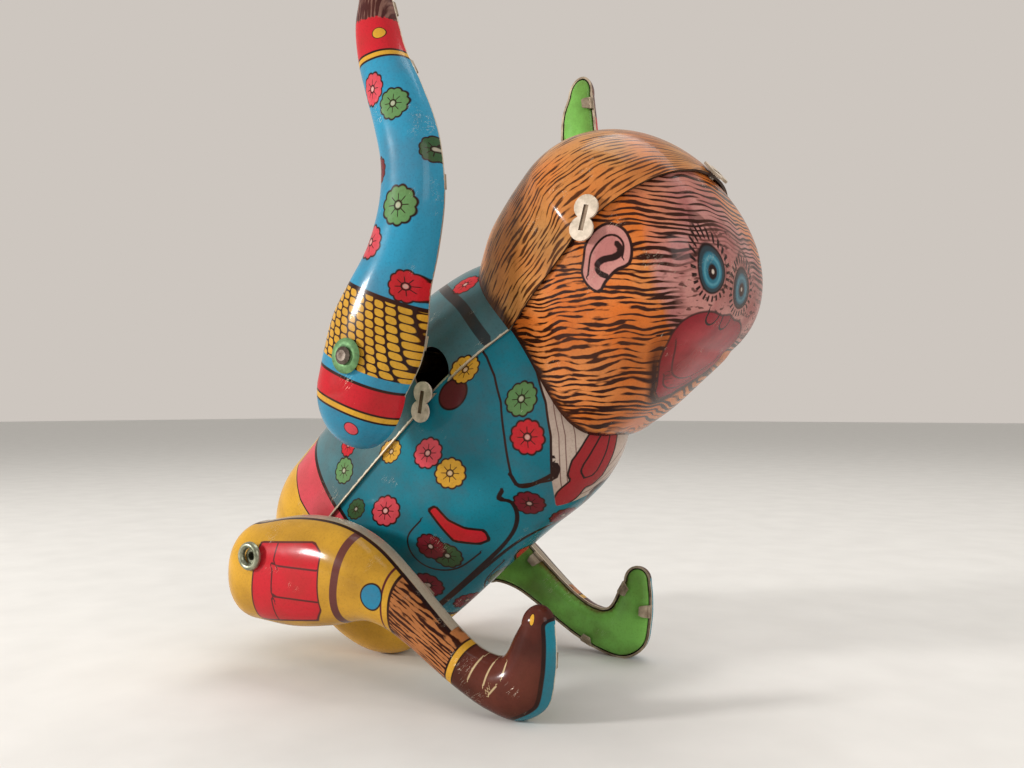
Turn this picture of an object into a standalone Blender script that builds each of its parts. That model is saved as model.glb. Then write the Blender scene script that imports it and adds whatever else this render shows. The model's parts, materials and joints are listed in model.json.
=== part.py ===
"""Pressed-tin climbing monkey: two body shells, four two-piece limbs, and the works between them.

Sizes are in millimetres, and MM turns them into the scene's metres where a mesh is made.
The monkey faces +X, its right side is -Y and +Z is up.
The body has a frame of its own: "along" runs up its axis from the seat, "front" leaves the seam
plane on the belly's side, and "side" is the world's Y.
"""
import bpy
import bmesh
from math import acos, asin, atan2, cos, hypot, inf, pi, radians, sin, tau
from mathutils import Matrix, Vector

MM = 0.001

# Sheet and clearances
TIN = 0.5
GAP = 0.3
LIP = 1.3

# Body, measured in its own frame
BODY_TILT = radians(39.7)
TORSO_LENGTH = 86.5
TORSO_HALF_WIDTH = 21.4
TORSO_FRONT = 31.9
TORSO_BACK = 23.4
SEAT_CAP = 20.0
HEAD_LENGTH = 46.3
HEAD_HALF_WIDTH = 26.1
HEAD_FRONT = 27.8
HEAD_BACK = 24.0
CROWN_CAP = 20.5

# Axles, in the body's frame
SHOULDER_ALONG = 67.9
SHOULDER_FRONT = -8.3
SHOULDER_AXLE = 2.2
HIP_ALONG = 16.6
HIP_FRONT = 1.7
HIP_TUBE = 3.2
HIP_BORE = 1.9

# Limbs
ARM_DISH = 2.3
ARM_DEPTH = 8.7
ARM_CLEAR = 2.2
LEG_DISH = 2.3
LEG_DEPTH = 9.2
LEG_CLEAR = 1.2
THIGH_BESIDE = 26.0
LEFT_ARM_LEAN = radians(10.5)
PLATE_INSET = TIN + GAP

# Lugs: the ones that lock the body shells, and the small ones that fold over a limb's back plate
LUG_LOBE = 2.2
LUG_SPREAD = 1.9
LUG_STEM = 2.0
LUG_TURN = radians(52)
EAR_LUG_ABOVE_NECK = 28.4
SHOULDER_LUG_ALONG = 65.7
CLAW_WIDTH = 2.8
CLAW_REACH = 2.3

# Works
WASHER_RADIUS = 3.4
WASHER = 0.6
RIVET_HEAD = 1.7
RIVET_RISE = 0.5
EYELET_RADIUS = 3.1
BUSH_RADIUS = 2.3
SHEAVE_RADIUS = 7.0
SHEAVE_WIDTH = 4.0
SHEAVE_GROOVE = 1.3
CRANK_REACH = 13.0
CRANK_WIDTH = 5.4
CRANK_TIP = 0.67
CRANK_PLATE = 1.0
CRANK_PIN = 1.6
CRANK_PIN_LENGTH = 8.0
SPRING_WIRE = 0.8
SPRING_TURNS = 4
SPRING_PITCH = 1.3
SPRING_TAIL_PAST = 1.2
ANCHOR_ROD = 1.8
ANCHOR_ALONG = 12.9
ANCHOR_FRONT = -8.0
ANCHOR_PLAY = 0.6
OPENING_RADIUS = 4.3
OPENING_STRETCH = 1.15
OPENING_FRONT = -3.2
OPENING_ABOVE_AXLE = 3.0

# Shares of the torso's length, half width, front depth and back depth
TORSO_SHAPE = (
    (0.220, 0.690, 1.005, 0.871),
    (0.382, 0.794, 1.004, 0.885),
    (0.543, 0.890, 0.990, 0.920),
    (0.705, 0.969, 0.986, 0.973),
    (0.821, 1.000, 0.998, 1.000),
    (0.913, 0.956, 0.966, 0.949),
    (0.994, 0.855, 0.865, 0.859),
    (1.075, 0.717, 0.651, 0.679),
    (1.145, 0.479, 0.416, 0.389),
)
# Shares of the head's length above the neck, and of its half width, front depth and back depth
HEAD_SHAPE = (
    (-0.233, 0.180, 0.190, 0.120),
    (-0.167, 0.420, 0.610, 0.350),
    (-0.078, 0.560, 0.865, 0.535),
    (0.011, 0.655, 0.966, 0.718),
    (0.109, 0.728, 0.990, 0.832),
    (0.211, 0.802, 1.000, 0.915),
    (0.367, 0.886, 0.988, 0.965),
    (0.500, 0.958, 0.972, 0.978),
    (0.544, 1.000, 0.947, 0.966),
)
# How square the ends and the sections are: 2 is an ellipse. An end's values are side, front, back.
SEAT_POWERS = (2.2, 2.5, 2.0)
CROWN_POWERS = (2.2, 2.1, 2.0)
TORSO_SECTION = 2.1
HEAD_SECTION = 2.4
FACE_SECTION = 3.4
JAW_SECTION = 3.8

# A limb's rungs go from one edge of its outline to the other, from the pivot's end outwards.
# Each is (edge A reach, across), (edge B reach, across) and the outer shell's share of its depth.
ARM_START = (-17.4, -4.4)
ARM_RUNGS = (
    ((-4.2, -11.8), (-7.3, 6.8), 1.00),
    ((2.3, -10.3), (-1.0, 10.5), 1.00),
    ((8.8, -8.0), (5.8, 12.0), 0.99),
    ((14.3, -4.2), (12.1, 12.6), 0.94),
    ((20.6, 0.0), (19.5, 14.4), 0.85),
    ((28.3, 2.4), (28.3, 15.7), 0.76),
    ((35.7, 2.7), (36.2, 15.3), 0.71),
    ((42.5, 1.2), (43.5, 13.7), 0.69),
    ((49.8, -1.1), (51.9, 10.1), 0.65),
    ((56.6, -3.2), (58.7, 6.6), 0.58),
    ((63.5, -4.2), (65.0, 4.6), 0.52),
    ((68.7, -3.4), (69.8, 3.1), 0.46),
)
ARM_END = (73.9, -0.5)
LEG_START = (-12.4, -4.0)
LEG_RUNGS = (
    ((-3.6, 6.4), (-4.6, -15.0), 1.00),
    ((5.7, 7.8), (5.6, -15.6), 1.00),
    ((14.5, 7.7), (15.5, -14.5), 1.00),
    ((22.2, 6.1), (22.2, -13.0), 0.98),
    ((29.3, 2.6), (26.9, -12.6), 0.93),
    ((35.8, -2.7), (31.8, -13.8), 0.83),
    ((41.6, -8.0), (36.8, -16.5), 0.73),
    ((46.7, -12.4), (42.2, -20.1), 0.65),
    ((50.9, -15.2), (47.6, -23.4), 0.60),
    ((53.8, -16.2), (53.6, -26.2), 0.58),
    ((55.4, -16.3), (60.0, -27.3), 0.58),
    ((56.7, -15.7), (65.0, -24.3), 0.54),
    ((57.8, -14.2), (66.6, -18.7), 0.48),
    ((58.8, -12.2), (67.0, -13.5), 0.42),
    ((60.4, -9.6), (66.8, -9.6), 0.36),
)
LEG_END = (63.8, -6.2)
LIMB_POWER = 2.3
# Where the claws grip: the rung, and which edge of the outline
ARM_CLAWS = ((1.5, 1), (5.5, 1), (8.5, 1), (2.5, 0), (6.5, 0), (10.5, 1))
LEG_CLAWS = ((1.5, 0), (5.5, 0), (8.5, 1), (13.5, 0), (3.5, 1), (12.5, 1))

# Mesh fineness
SHELL_COLUMNS = 16
TORSO_ROWS = 14
HEAD_ROWS = 11
LIMB_COLUMNS = 8
CAP_ROWS = 3
ROUND_STEPS = 14

AXIS = Vector((cos(BODY_TILT), 0, sin(BODY_TILT)))
FRONT = Vector((sin(BODY_TILT), 0, -cos(BODY_TILT)))
SIDE = Vector((0, 1, 0))
BACK_OFFSET = TIN + GAP
TORSO_REACH = TORSO_HALF_WIDTH + BACK_OFFSET
HEAD_REACH = HEAD_HALF_WIDTH + BACK_OFFSET
ARM_FACE = max(TORSO_REACH, HEAD_REACH) + ARM_CLEAR
ARM_SEAM = ARM_FACE + ARM_DISH


def body_point(front, side, along):
    return FRONT * front + SIDE * side + AXIS * along


SHOULDER = body_point(SHOULDER_FRONT, 0, SHOULDER_ALONG)
HIP = body_point(HIP_FRONT, 0, HIP_ALONG)


def clear_scene():
    for thing in list(bpy.data.objects):
        bpy.data.objects.remove(thing, do_unlink=True)


def collection(name):
    group = bpy.data.collections.new(name)
    bpy.context.scene.collection.children.link(group)
    return group


def finish(name, color, roughness, metallic=0.0):
    look = bpy.data.materials.new(name)
    look.use_nodes = True
    shader = look.node_tree.nodes["Principled BSDF"]
    shader.inputs["Base Color"].default_value = (*color, 1)
    shader.inputs["Roughness"].default_value = roughness
    shader.inputs["Metallic"].default_value = metallic
    return look


def hermite(stations, column, at):
    """A smooth curve through one column of a shape table, at a share of its length."""
    first, last = stations[0], stations[-1]
    if at <= first[0]:
        return first[column]
    if at >= last[0]:
        return last[column]
    index = next(i for i in range(len(stations) - 1) if at <= stations[i + 1][0])

    def slope(i):
        low, high = stations[max(i - 1, 0)], stations[min(i + 1, len(stations) - 1)]
        return (high[column] - low[column]) / (high[0] - low[0])

    here, there = stations[index], stations[index + 1]
    span = there[0] - here[0]
    t = (at - here[0]) / span
    return ((2 * t**3 - 3 * t**2 + 1) * here[column] + (t**3 - 2 * t**2 + t) * span * slope(index)
            + (3 * t**2 - 2 * t**3) * there[column] + (t**3 - t**2) * span * slope(index + 1))


def rounding(share, power):
    """The height of a rounded end, from 1 at its root to 0 at its tip."""
    return max(0.0, 1 - min(1.0, max(0.0, share)) ** power) ** (1 / power)


def oval(angle, halves, power):
    """Radius of a section, with the angle measured from the front and its halves side, front, back."""
    half_side, half_front, half_back = halves
    if min(halves) <= 0:
        return 0.0
    depth = half_front if cos(angle) >= 0 else half_back
    return (abs(cos(angle) / depth) ** power + abs(sin(angle) / half_side) ** power) ** (-1 / power)


def torso_halves(along):
    """Half width, front depth and back depth of the torso at a height, and nothing past its neck."""
    if along > TORSO_SHAPE[-1][0] * TORSO_LENGTH:
        return [0.0, 0.0, 0.0]
    at = max(along, SEAT_CAP) / TORSO_LENGTH
    caps = [rounding((SEAT_CAP - along) / SEAT_CAP, power) for power in SEAT_POWERS]
    sizes = (TORSO_HALF_WIDTH, TORSO_FRONT, TORSO_BACK)
    return [hermite(TORSO_SHAPE, i + 1, at) * sizes[i] * caps[i] for i in range(3)]


def head_halves(along):
    """The same for the head, which has nothing below its throat."""
    if along < TORSO_LENGTH + HEAD_SHAPE[0][0] * HEAD_LENGTH:
        return [0.0, 0.0, 0.0]
    crown = TORSO_LENGTH + HEAD_LENGTH
    root = crown - CROWN_CAP
    at = (min(along, root) - TORSO_LENGTH) / HEAD_LENGTH
    caps = [rounding((along - root) / CROWN_CAP, power) for power in CROWN_POWERS]
    sizes = (HEAD_HALF_WIDTH, HEAD_FRONT, HEAD_BACK)
    return [hermite(HEAD_SHAPE, i + 1, at) * sizes[i] * caps[i] for i in range(3)]


def torso_radius(angle, along):
    return oval(angle, torso_halves(along), TORSO_SECTION)


def head_radius(angle, along):
    """The face is squarer than the back of the head, and grows squarer toward the jaw."""
    power = HEAD_SECTION
    if cos(angle) > 0:
        down = max(0.0, min(1.0, 1.0 - (along - TORSO_LENGTH) / (0.45 * HEAD_LENGTH)))
        power = FACE_SECTION + (JAW_SECTION - FACE_SECTION) * down * down * (3 - 2 * down)
    return oval(angle, head_halves(along), power)


def torso_side(front, along):
    """How far to the side the torso's skin stands, beside a point of the middle plane."""
    side, depth_front, depth_back = torso_halves(along)
    share = abs(front) / (depth_front if front >= 0 else depth_back)
    return side * rounding(share, TORSO_SECTION)


LEG_FACE = torso_side(0, HIP_ALONG + THIGH_BESIDE) + BACK_OFFSET + LEG_CLEAR
LEG_SEAM = LEG_FACE + LEG_DISH


def neck_crease(angle):
    """How far along the head meets the torso, in the direction of an angle."""
    low, high = TORSO_LENGTH - 0.2 * HEAD_LENGTH, TORSO_LENGTH + 0.25 * HEAD_LENGTH
    for _ in range(30):
        middle = (low + high) / 2
        if torso_radius(angle, middle) > head_radius(angle, middle):
            low = middle
        else:
            high = middle
    return low


def skin_point(angle, along, lift=0.0):
    """A point on the body's outside. Angle 0 is the front, a right angle the monkey's left side."""
    radius = max(torso_radius(angle, along), head_radius(angle, along)) + lift
    return body_point(radius * cos(angle), radius * sin(angle), along)


def skin_normal(angle, along):
    step = 0.02
    around = skin_point(angle + step, along) - skin_point(angle - step, along)
    up = skin_point(angle, along + step) - skin_point(angle, along - step)
    return around.cross(up).normalized()


def new_object(name, mesh, group, look=None):
    thing = bpy.data.objects.new(name, mesh)
    group.objects.link(thing)
    if look:
        mesh.materials.append(look)
    return thing


def sheet(rows, facing):
    """An open sheet from rows of points, where a row of one point is a pole. It faces one way on the whole."""
    build = bmesh.new()
    grid = [[build.verts.new(point * MM) for point in row] for row in rows]
    for low, high in zip(grid, grid[1:]):
        for i in range(max(len(low), len(high)) - 1):
            corners = [low[min(i, len(low) - 1)], low[min(i + 1, len(low) - 1)],
                       high[min(i + 1, len(high) - 1)], high[min(i, len(high) - 1)]]
            build.faces.new(list(dict.fromkeys(corners)))
    build.normal_update()
    if sum(face.normal.dot(facing) * face.calc_area() for face in build.faces) < 0:
        bmesh.ops.reverse_faces(build, faces=build.faces)
        build.normal_update()
    return build


def to_mesh(build, name):
    mesh = bpy.data.meshes.new(name)
    build.to_mesh(mesh)
    build.free()
    mesh.shade_smooth()
    mesh.set_sharp_from_angle(angle=radians(40))
    return mesh


def thicken(thing, inward=True):
    solid = thing.modifiers.new("sheet", "SOLIDIFY")
    solid.thickness = TIN * MM
    solid.offset = -1 if inward else 1
    solid.use_even_offset = True
    solid.use_quality_normals = True


def combine(thing, other, operation):
    cut = thing.modifiers.new(operation.lower(), "BOOLEAN")
    cut.operation = operation
    cut.solver = "EXACT"
    cut.object = other


def cutter(thing, group):
    for owner in list(thing.users_collection):
        owner.objects.unlink(thing)
    group.objects.link(thing)
    thing.hide_render = True
    thing.display_type = "WIRE"
    return thing


def body_rows(start, stop):
    """Rows of points up the body between two angles, with a row on the neck's crease."""
    angles = [start + (stop - start) * i / SHELL_COLUMNS for i in range(SHELL_COLUMNS + 1)]
    creases = [neck_crease(angle) for angle in angles]
    crown = TORSO_LENGTH + HEAD_LENGTH
    rows = [[body_point(0, 0, 0)]]
    for i in range(1, TORSO_ROWS + 1):
        share = (i / TORSO_ROWS) ** 1.6
        rows.append([skin_point(angle, crease * share) for angle, crease in zip(angles, creases)])
    for i in range(1, HEAD_ROWS):
        share = 1 - (1 - i / HEAD_ROWS) ** 1.8
        rows.append([skin_point(angle, crease + (crown - crease) * share)
                     for angle, crease in zip(angles, creases)])
    rows.append([body_point(0, 0, crown)])
    return rows


def front_sheet():
    return sheet(body_rows(-pi / 2, pi / 2), FRONT)


def back_sheet():
    """The back stands off the front by a sheet and a gap, and its lip laps over the seam."""
    build = sheet(body_rows(pi / 2, 3 * pi / 2), -FRONT)
    rim = {vert for edge in build.edges if edge.is_boundary for vert in edge.verts}
    moves = {}
    for vert in build.verts:
        normal = vert.normal.copy()
        if vert in rim:
            normal = (normal - FRONT * normal.dot(FRONT)).normalized()
        moves[vert] = normal * vert.calc_shell_factor() * BACK_OFFSET * MM
    for vert, move in moves.items():
        vert.co += move
    edges = [edge for edge in build.edges if edge.is_boundary]
    grown = bmesh.ops.extrude_edge_only(build, edges=edges)
    lip = [item for item in grown["geom"] if isinstance(item, bmesh.types.BMVert)]
    bmesh.ops.translate(build, verts=lip, vec=FRONT * LIP * MM)
    return build


def lug_places():
    """Angle, height and turn of each lug at the ears and shoulders."""
    places = []
    for hand in (-1, 1):
        for along in (TORSO_LENGTH + EAR_LUG_ABOVE_NECK, SHOULDER_LUG_ALONG):
            places.append((hand * pi / 2, along, hand * LUG_TURN))
    return places


def lug_frame(angle, along):
    """Centre on the seam, outward normal, and the two directions in the sheet."""
    normal = skin_normal(angle, along)
    normal = (normal - FRONT * normal.dot(FRONT)).normalized()
    return skin_point(angle, along), normal, FRONT.copy(), normal.cross(FRONT)


def crown_frame():
    return body_point(0, 0, TORSO_LENGTH + HEAD_LENGTH), AXIS.copy(), FRONT.copy(), AXIS.cross(FRONT)


def block(build, centre, directions, sizes):
    """A box with its own directions, added to a mesh being built."""
    made = bmesh.ops.create_cube(build, size=1.0)
    x, y, z = directions
    turn = Matrix((x, y, z)).transposed().to_4x4()
    scale = Matrix.Diagonal((*[size * MM for size in sizes], 1))
    bmesh.ops.transform(build, matrix=Matrix.Translation(centre * MM) @ turn @ scale, verts=made["verts"])


def lobes(build, middle, directions, height):
    """A flat plate in the outline of two overlapping round lobes, added to a mesh being built."""
    across, other, normal = directions
    steps = 8
    reach = pi - acos(LUG_SPREAD / LUG_LOBE)
    outline = []
    for hand in (1, -1):
        for i in range(steps):
            turn = reach * (2 * i / steps - 1)
            out = across * (LUG_SPREAD + LUG_LOBE * cos(turn)) + other * LUG_LOBE * sin(turn)
            outline.append(out * hand)
    rings = []
    for rise in (-height / 2, height / 2):
        rings.append([build.verts.new((middle + point + normal * rise) * MM) for point in outline])
    for i in range(len(outline)):
        k = (i + 1) % len(outline)
        build.faces.new((rings[0][i], rings[0][k], rings[1][k], rings[1][i]))
    build.faces.new(rings[0][::-1])
    build.faces.new(rings[1])
    bmesh.ops.recalc_face_normals(build, faces=build.faces)


def lug(frame, turn, group):
    """A stem out of the front shell's rim, with two lobes bent down flat on the back shell."""
    base, normal, front, along = frame
    lift = BACK_OFFSET + GAP
    root = base + front * LIP / 2
    stem_low, stem_high = -0.8 * TIN, lift + 0.5 * TIN
    build = bmesh.new()
    centre = root + normal * (stem_low + stem_high) / 2
    block(build, centre, (front, along, normal), (TIN, LUG_STEM, stem_high - stem_low))
    stem = new_object("lug_stem", to_mesh(build, "lug_stem"), group)
    across = front * cos(turn) + along * sin(turn)
    build = bmesh.new()
    lobes(build, root + normal * (lift + TIN / 2), (across, normal.cross(across), normal), TIN)
    head = cutter(new_object("lug_lobes", to_mesh(build, "lug_lobes"), group), group)
    combine(stem, head, "UNION")
    return cutter(stem, group)


def lug_slot(build, frame):
    base, normal, front, along = frame
    centre = base + front * 0.5 * LIP + normal * BACK_OFFSET
    block(build, centre, (front, along, normal), (TIN + 2 * GAP, LUG_STEM + 2 * GAP, 2 * BACK_OFFSET))


def side_cylinder(build, centre, radius, low, high, stretch=1.0, steps=ROUND_STEPS):
    """A cylinder along Y between two distances from the middle plane, longer along the front."""
    made = bmesh.ops.create_cone(build, cap_ends=True, segments=steps, radius1=radius * MM,
                                 radius2=radius * MM, depth=(high - low) * MM)
    turn = Matrix((FRONT, AXIS, FRONT.cross(AXIS))).transposed().to_4x4()
    middle = Vector((centre.x, (low + high) / 2, centre.z)) * MM
    grow = Matrix.Diagonal((stretch, 1, 1, 1))
    bmesh.ops.transform(build, matrix=Matrix.Translation(middle) @ turn @ grow, verts=made["verts"])


def body_shells(parts, cutters):
    print_look = finish("litho_front", (0.05, 0.22, 0.27), 0.25, 0.3)
    hair_look = finish("litho_back", (0.30, 0.17, 0.06), 0.25, 0.3)
    front = new_object("front_shell", to_mesh(front_sheet(), "front_shell"), parts, print_look)
    back = new_object("back_shell", to_mesh(back_sheet(), "back_shell"), parts, hair_look)
    thicken(front)
    thicken(back)

    frames = [(lug_frame(angle, along), turn) for angle, along, turn in lug_places()]
    frames.append((crown_frame(), radians(90)))
    for frame, turn in frames:
        combine(front, lug(frame, turn, cutters), "UNION")
    slots = bmesh.new()
    for frame, turn in frames:
        lug_slot(slots, frame)
    slots = cutter(new_object("lug_slots", to_mesh(slots, "lug_slots"), cutters), cutters)
    combine(back, slots, "DIFFERENCE")

    wide = TORSO_REACH + BACK_OFFSET
    holes = bmesh.new()
    side_cylinder(holes, HIP, HIP_TUBE / 2 + GAP, -wide, wide)
    holes = cutter(new_object("hip_holes", to_mesh(holes, "hip_holes"), cutters), cutters)
    combine(front, holes, "DIFFERENCE")
    combine(back, holes, "DIFFERENCE")
    bores = bmesh.new()
    side_cylinder(bores, SHOULDER, BUSH_RADIUS + GAP, -wide, wide)
    bores = cutter(new_object("shoulder_bores", to_mesh(bores, "shoulder_bores"), cutters), cutters)
    combine(back, bores, "DIFFERENCE")
    notches = bmesh.new()
    slot = body_point(OPENING_FRONT, 0, SHOULDER_ALONG + OPENING_ABOVE_AXLE)
    side_cylinder(notches, slot, OPENING_RADIUS, -wide, wide, stretch=OPENING_STRETCH)
    notches = cutter(new_object("shoulder_notches", to_mesh(notches, "shoulder_notches"), cutters), cutters)
    combine(back, notches, "DIFFERENCE")


def limb_edges(limb, at):
    """The two edges of a limb's outline at a rung number, which may lie between rungs."""
    rungs = limb["rungs"]
    rows = [(i, *rung[0], *rung[1], rung[2]) for i, rung in enumerate(rungs)]
    a = Vector((hermite(rows, 1, at), hermite(rows, 2, at)))
    b = Vector((hermite(rows, 3, at), hermite(rows, 4, at)))
    return a, b, hermite(rows, 5, at)


def limb_section(limb, place, inset=0.0):
    """Middle, half vector across and share of depth at a place: caps run from -1 to 0 and past the last."""
    last = len(limb["rungs"]) - 1
    a, b, share = limb_edges(limb, min(max(place, 0), last))
    middle, half = (a + b) / 2, (b - a) / 2
    half = half * (1 - inset / half.length)
    over = -place if place < 0 else place - last
    if over <= 0:
        return middle, half, share
    tip = Vector(limb["start"] if place < 0 else limb["end"])
    tip += (middle - tip).normalized() * inset
    over = min(over, 1.0) * pi / 2
    return middle + (tip - middle) * sin(over), half * cos(over), share * cos(over)


def limb_places(limb):
    last = len(limb["rungs"]) - 1
    caps = [i / CAP_ROWS for i in range(1, CAP_ROWS + 1)]
    return [-cap for cap in reversed(caps)] + list(range(last + 1)) + [last + cap for cap in caps]


def limb_point(limb, place, turn, depth, inset=0.0):
    """A point on a limb's half: turn goes from 0 at edge A to a half circle at edge B."""
    middle, half, share = limb_section(limb, place, inset)
    c, s = cos(turn), sin(turn)
    flat = -half * (abs(c) ** (2 / LIMB_POWER)) * (1 if c >= 0 else -1)
    return middle + flat, depth * share * abs(s) ** (2 / LIMB_POWER)


def limb_world(limb, flat, height):
    """Limb plane and height above its seam to the world. Height is positive away from the body."""
    reach, across = flat
    turned = limb["forward"] * reach + limb["upward"] * across
    return limb["pivot"] + turned + SIDE * limb["hand"] * (limb["seam"] + height)


def limb_rows(limb, depth, inset=0.0, rise=0.0):
    rows = []
    places = limb_places(limb)
    for place in places:
        if place in (places[0], places[-1]):
            rows.append([limb_world(limb, limb_section(limb, place, inset)[0], rise)])
            continue
        row = []
        for i in range(LIMB_COLUMNS + 1):
            flat, height = limb_point(limb, place, pi * i / LIMB_COLUMNS, depth, inset)
            row.append(limb_world(limb, flat, height + rise))
        rows.append(row)
    return rows


def plate_height(limb, along_edge, depth_in):
    """How far the back plate bulges toward the body, some way in from its edge."""
    middle, half, share = limb_section(limb, along_edge)
    inside = max(0.0, min(1.0, 1 - (depth_in - PLATE_INSET) / max(half.length - PLATE_INSET, 0.1)))
    return limb["dish"] * share * max(0.0, 1 - inside ** LIMB_POWER) ** (1 / LIMB_POWER)


def claw(limb, place, edge, group):
    """A small tongue of the outer shell, folded in over the back plate."""
    low, high = (Vector(limb["rungs"][int(place) + i][edge]) for i in (0, 1))
    tangent = (high - low).normalized()
    root = low.lerp(high, place - int(place))
    middle, half, share = limb_section(limb, place)
    inward = Vector((-tangent.y, tangent.x))
    if inward.dot(middle - root) < 0:
        inward = -inward
    wall = TIN / 2
    clear = GAP + TIN
    path = [(0.9 * wall, 0.5 * TIN), (wall, -clear / 2)]
    for share_in in (0.3, 0.65, 1.0):
        depth_in = CLAW_REACH * share_in
        path.append((depth_in, -plate_height(limb, place, depth_in) - clear))
    path[1] = (wall, path[2][1])
    rows = []
    for i, (deep, high) in enumerate(path):
        low_i, high_i = max(i - 1, 0), min(i + 1, len(path) - 1)
        run = Vector(path[high_i]) - Vector(path[low_i])
        across = Vector((run.y, -run.x)).normalized() * 0.38 * TIN
        row = []
        for lift, slide in ((-1, -1), (1, -1), (1, 1), (-1, 1)):
            d, h = deep + across.x * lift, high + across.y * lift
            flat = root + inward * d + tangent * slide * CLAW_WIDTH / 2
            row.append(limb_world(limb, flat, h))
        rows.append(row)
    build = bmesh.new()
    grid = [[build.verts.new(point * MM) for point in row] for row in rows]
    for low, high in zip(grid, grid[1:]):
        for i in range(4):
            build.faces.new((low[i], low[(i + 1) % 4], high[(i + 1) % 4], high[i]))
    build.faces.new(grid[0][::-1])
    build.faces.new(grid[-1])
    bmesh.ops.recalc_face_normals(build, faces=build.faces)
    return cutter(new_object("claw", to_mesh(build, "claw"), group), group)


def limb_shells(limb, colors, bore, parts, cutters):
    """The printed outer shell with its claws, and the dished back plate that they hold."""
    name, hand = limb["name"], limb["hand"]
    away = SIDE * hand
    outer_look = finish(name + "_print", colors[0], 0.25, 0.3)
    inner_look = finish(name + "_paint", colors[1], 0.35, 0.1)
    outer = new_object(name + "_outer_shell", to_mesh(sheet(limb_rows(limb, limb["depth"]), away), name),
                       parts, outer_look)
    plate_rows = limb_rows(limb, -limb["dish"], PLATE_INSET, 0.4 * TIN)
    plate = new_object(name + "_back_plate", to_mesh(sheet(plate_rows, -away), name + "_plate"),
                       parts, inner_look)
    thicken(outer)
    thicken(plate)
    for place, edge in limb["claws"]:
        combine(outer, claw(limb, place, edge, cutters), "UNION")
    holes = bmesh.new()
    low, high = limb["face"] - 2 * TIN, limb["seam"] + limb["depth"] + 2 * TIN
    side_cylinder(holes, limb["pivot"], bore, *sorted((hand * low, hand * high)))
    holes = cutter(new_object(name + "_holes", to_mesh(holes, name + "_holes"), cutters), cutters)
    combine(outer, holes, "DIFFERENCE")
    combine(plate, holes, "DIFFERENCE")


def limb(name, hand, shape, pivot, forward, upward, seam, face, depth, dish, claws):
    start, rungs, end = shape
    return {"name": name, "hand": hand, "start": start, "rungs": rungs, "end": end, "pivot": pivot,
            "forward": forward, "upward": upward, "seam": seam, "face": face, "depth": depth,
            "dish": dish, "claws": claws}


def lowest_torso():
    low = 0.0
    for i in range(41):
        along = 0.5 * TORSO_LENGTH * i / 40
        for k in range(13):
            angle = -pi / 2 + pi * k / 12
            low = min(low, skin_point(angle, along).z)
    return low


def leg_rest_turn():
    """The turn of both legs at which the heels stand level with the belly's lowest point."""
    floor = lowest_torso()
    outline = [Vector(rung[1]) for rung in LEG_RUNGS]
    spans = [outline[i] + (outline[i + 1] - outline[i]) * k / 6
             for i in range(len(outline) - 1) for k in range(7)]
    low, high = radians(-25), radians(25)
    for _ in range(30):
        turn = (low + high) / 2
        sole = min(HIP.z + point.x * sin(turn) + point.y * cos(turn) for point in spans)
        if sole > floor:
            high = turn
        else:
            low = turn
    return turn


def turned(name, profile, look, group, origin, steps=ROUND_STEPS):
    """A turned piece on a Y axis. The profile holds (radius, place along Y), outer side top to bottom."""
    mesh = bpy.data.meshes.new(name)
    points = [(radius * MM, 0, place * MM) for radius, place in profile]
    closed = profile[0][0] > 0
    edges = [(i, i + 1) for i in range(len(points) - 1)]
    if closed:
        edges.append((len(points) - 1, 0))
    mesh.from_pydata(points, edges, [])
    thing = new_object(name, mesh, group, look)
    screw = thing.modifiers.new("turn", "SCREW")
    screw.axis = "Z"
    screw.angle = tau
    screw.steps = steps
    screw.render_steps = steps
    screw.use_merge_vertices = True
    screw.merge_threshold = 0.00001
    screw.use_smooth_shade = True
    thing.rotation_euler = (-pi / 2, 0, 0)
    thing.location = origin * MM
    return thing


def ring(name, inner, outer, low, high, look, group, origin):
    profile = [(outer, high), (outer, low), (inner, low), (inner, high)]
    return turned(name, profile, look, group, origin)


def shoulder_works(parts):
    steel = finish("steel_wire", (0.42, 0.40, 0.37), 0.35, 1.0)
    brass = finish("turned_brass", (0.55, 0.40, 0.18), 0.35, 1.0)
    green = finish("washer_green", (0.22, 0.42, 0.20), 0.4, 0.2)
    radius = SHOULDER_AXLE / 2
    crown = ARM_SEAM + ARM_DEPTH
    washer_low = crown + GAP
    head_low = washer_low + WASHER + GAP
    tip = head_low + RIVET_RISE
    profile = [(0, tip), (0.6 * RIVET_HEAD, tip), (RIVET_HEAD, head_low + 0.3 * RIVET_RISE),
               (RIVET_HEAD, head_low), (radius, head_low)]
    profile += [(r, -place) for r, place in reversed(profile)]
    turned("shoulder_axle", profile, steel, parts, SHOULDER)
    for side, hand in (("right", -1), ("left", 1)):
        low, high = sorted((hand * washer_low, hand * (washer_low + WASHER)))
        ring("shoulder_washer_" + side, radius + GAP, WASHER_RADIUS, low, high, green, parts, SHOULDER)
        low, high = sorted((hand * (SHEAVE_WIDTH / 2 + GAP), hand * (ARM_FACE - GAP)))
        ring("shoulder_bush_" + side, radius + GAP, BUSH_RADIUS, low, high, brass, parts, SHOULDER)
    half, groove = SHEAVE_WIDTH / 2, SHEAVE_RADIUS - SHEAVE_GROOVE
    profile = [(SHEAVE_RADIUS, half), (groove, 0.3 * half), (groove, -0.3 * half), (SHEAVE_RADIUS, -half),
               (radius + GAP, -half), (radius + GAP, half)]
    turned("cord_sheave", profile, brass, parts, SHOULDER)


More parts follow.
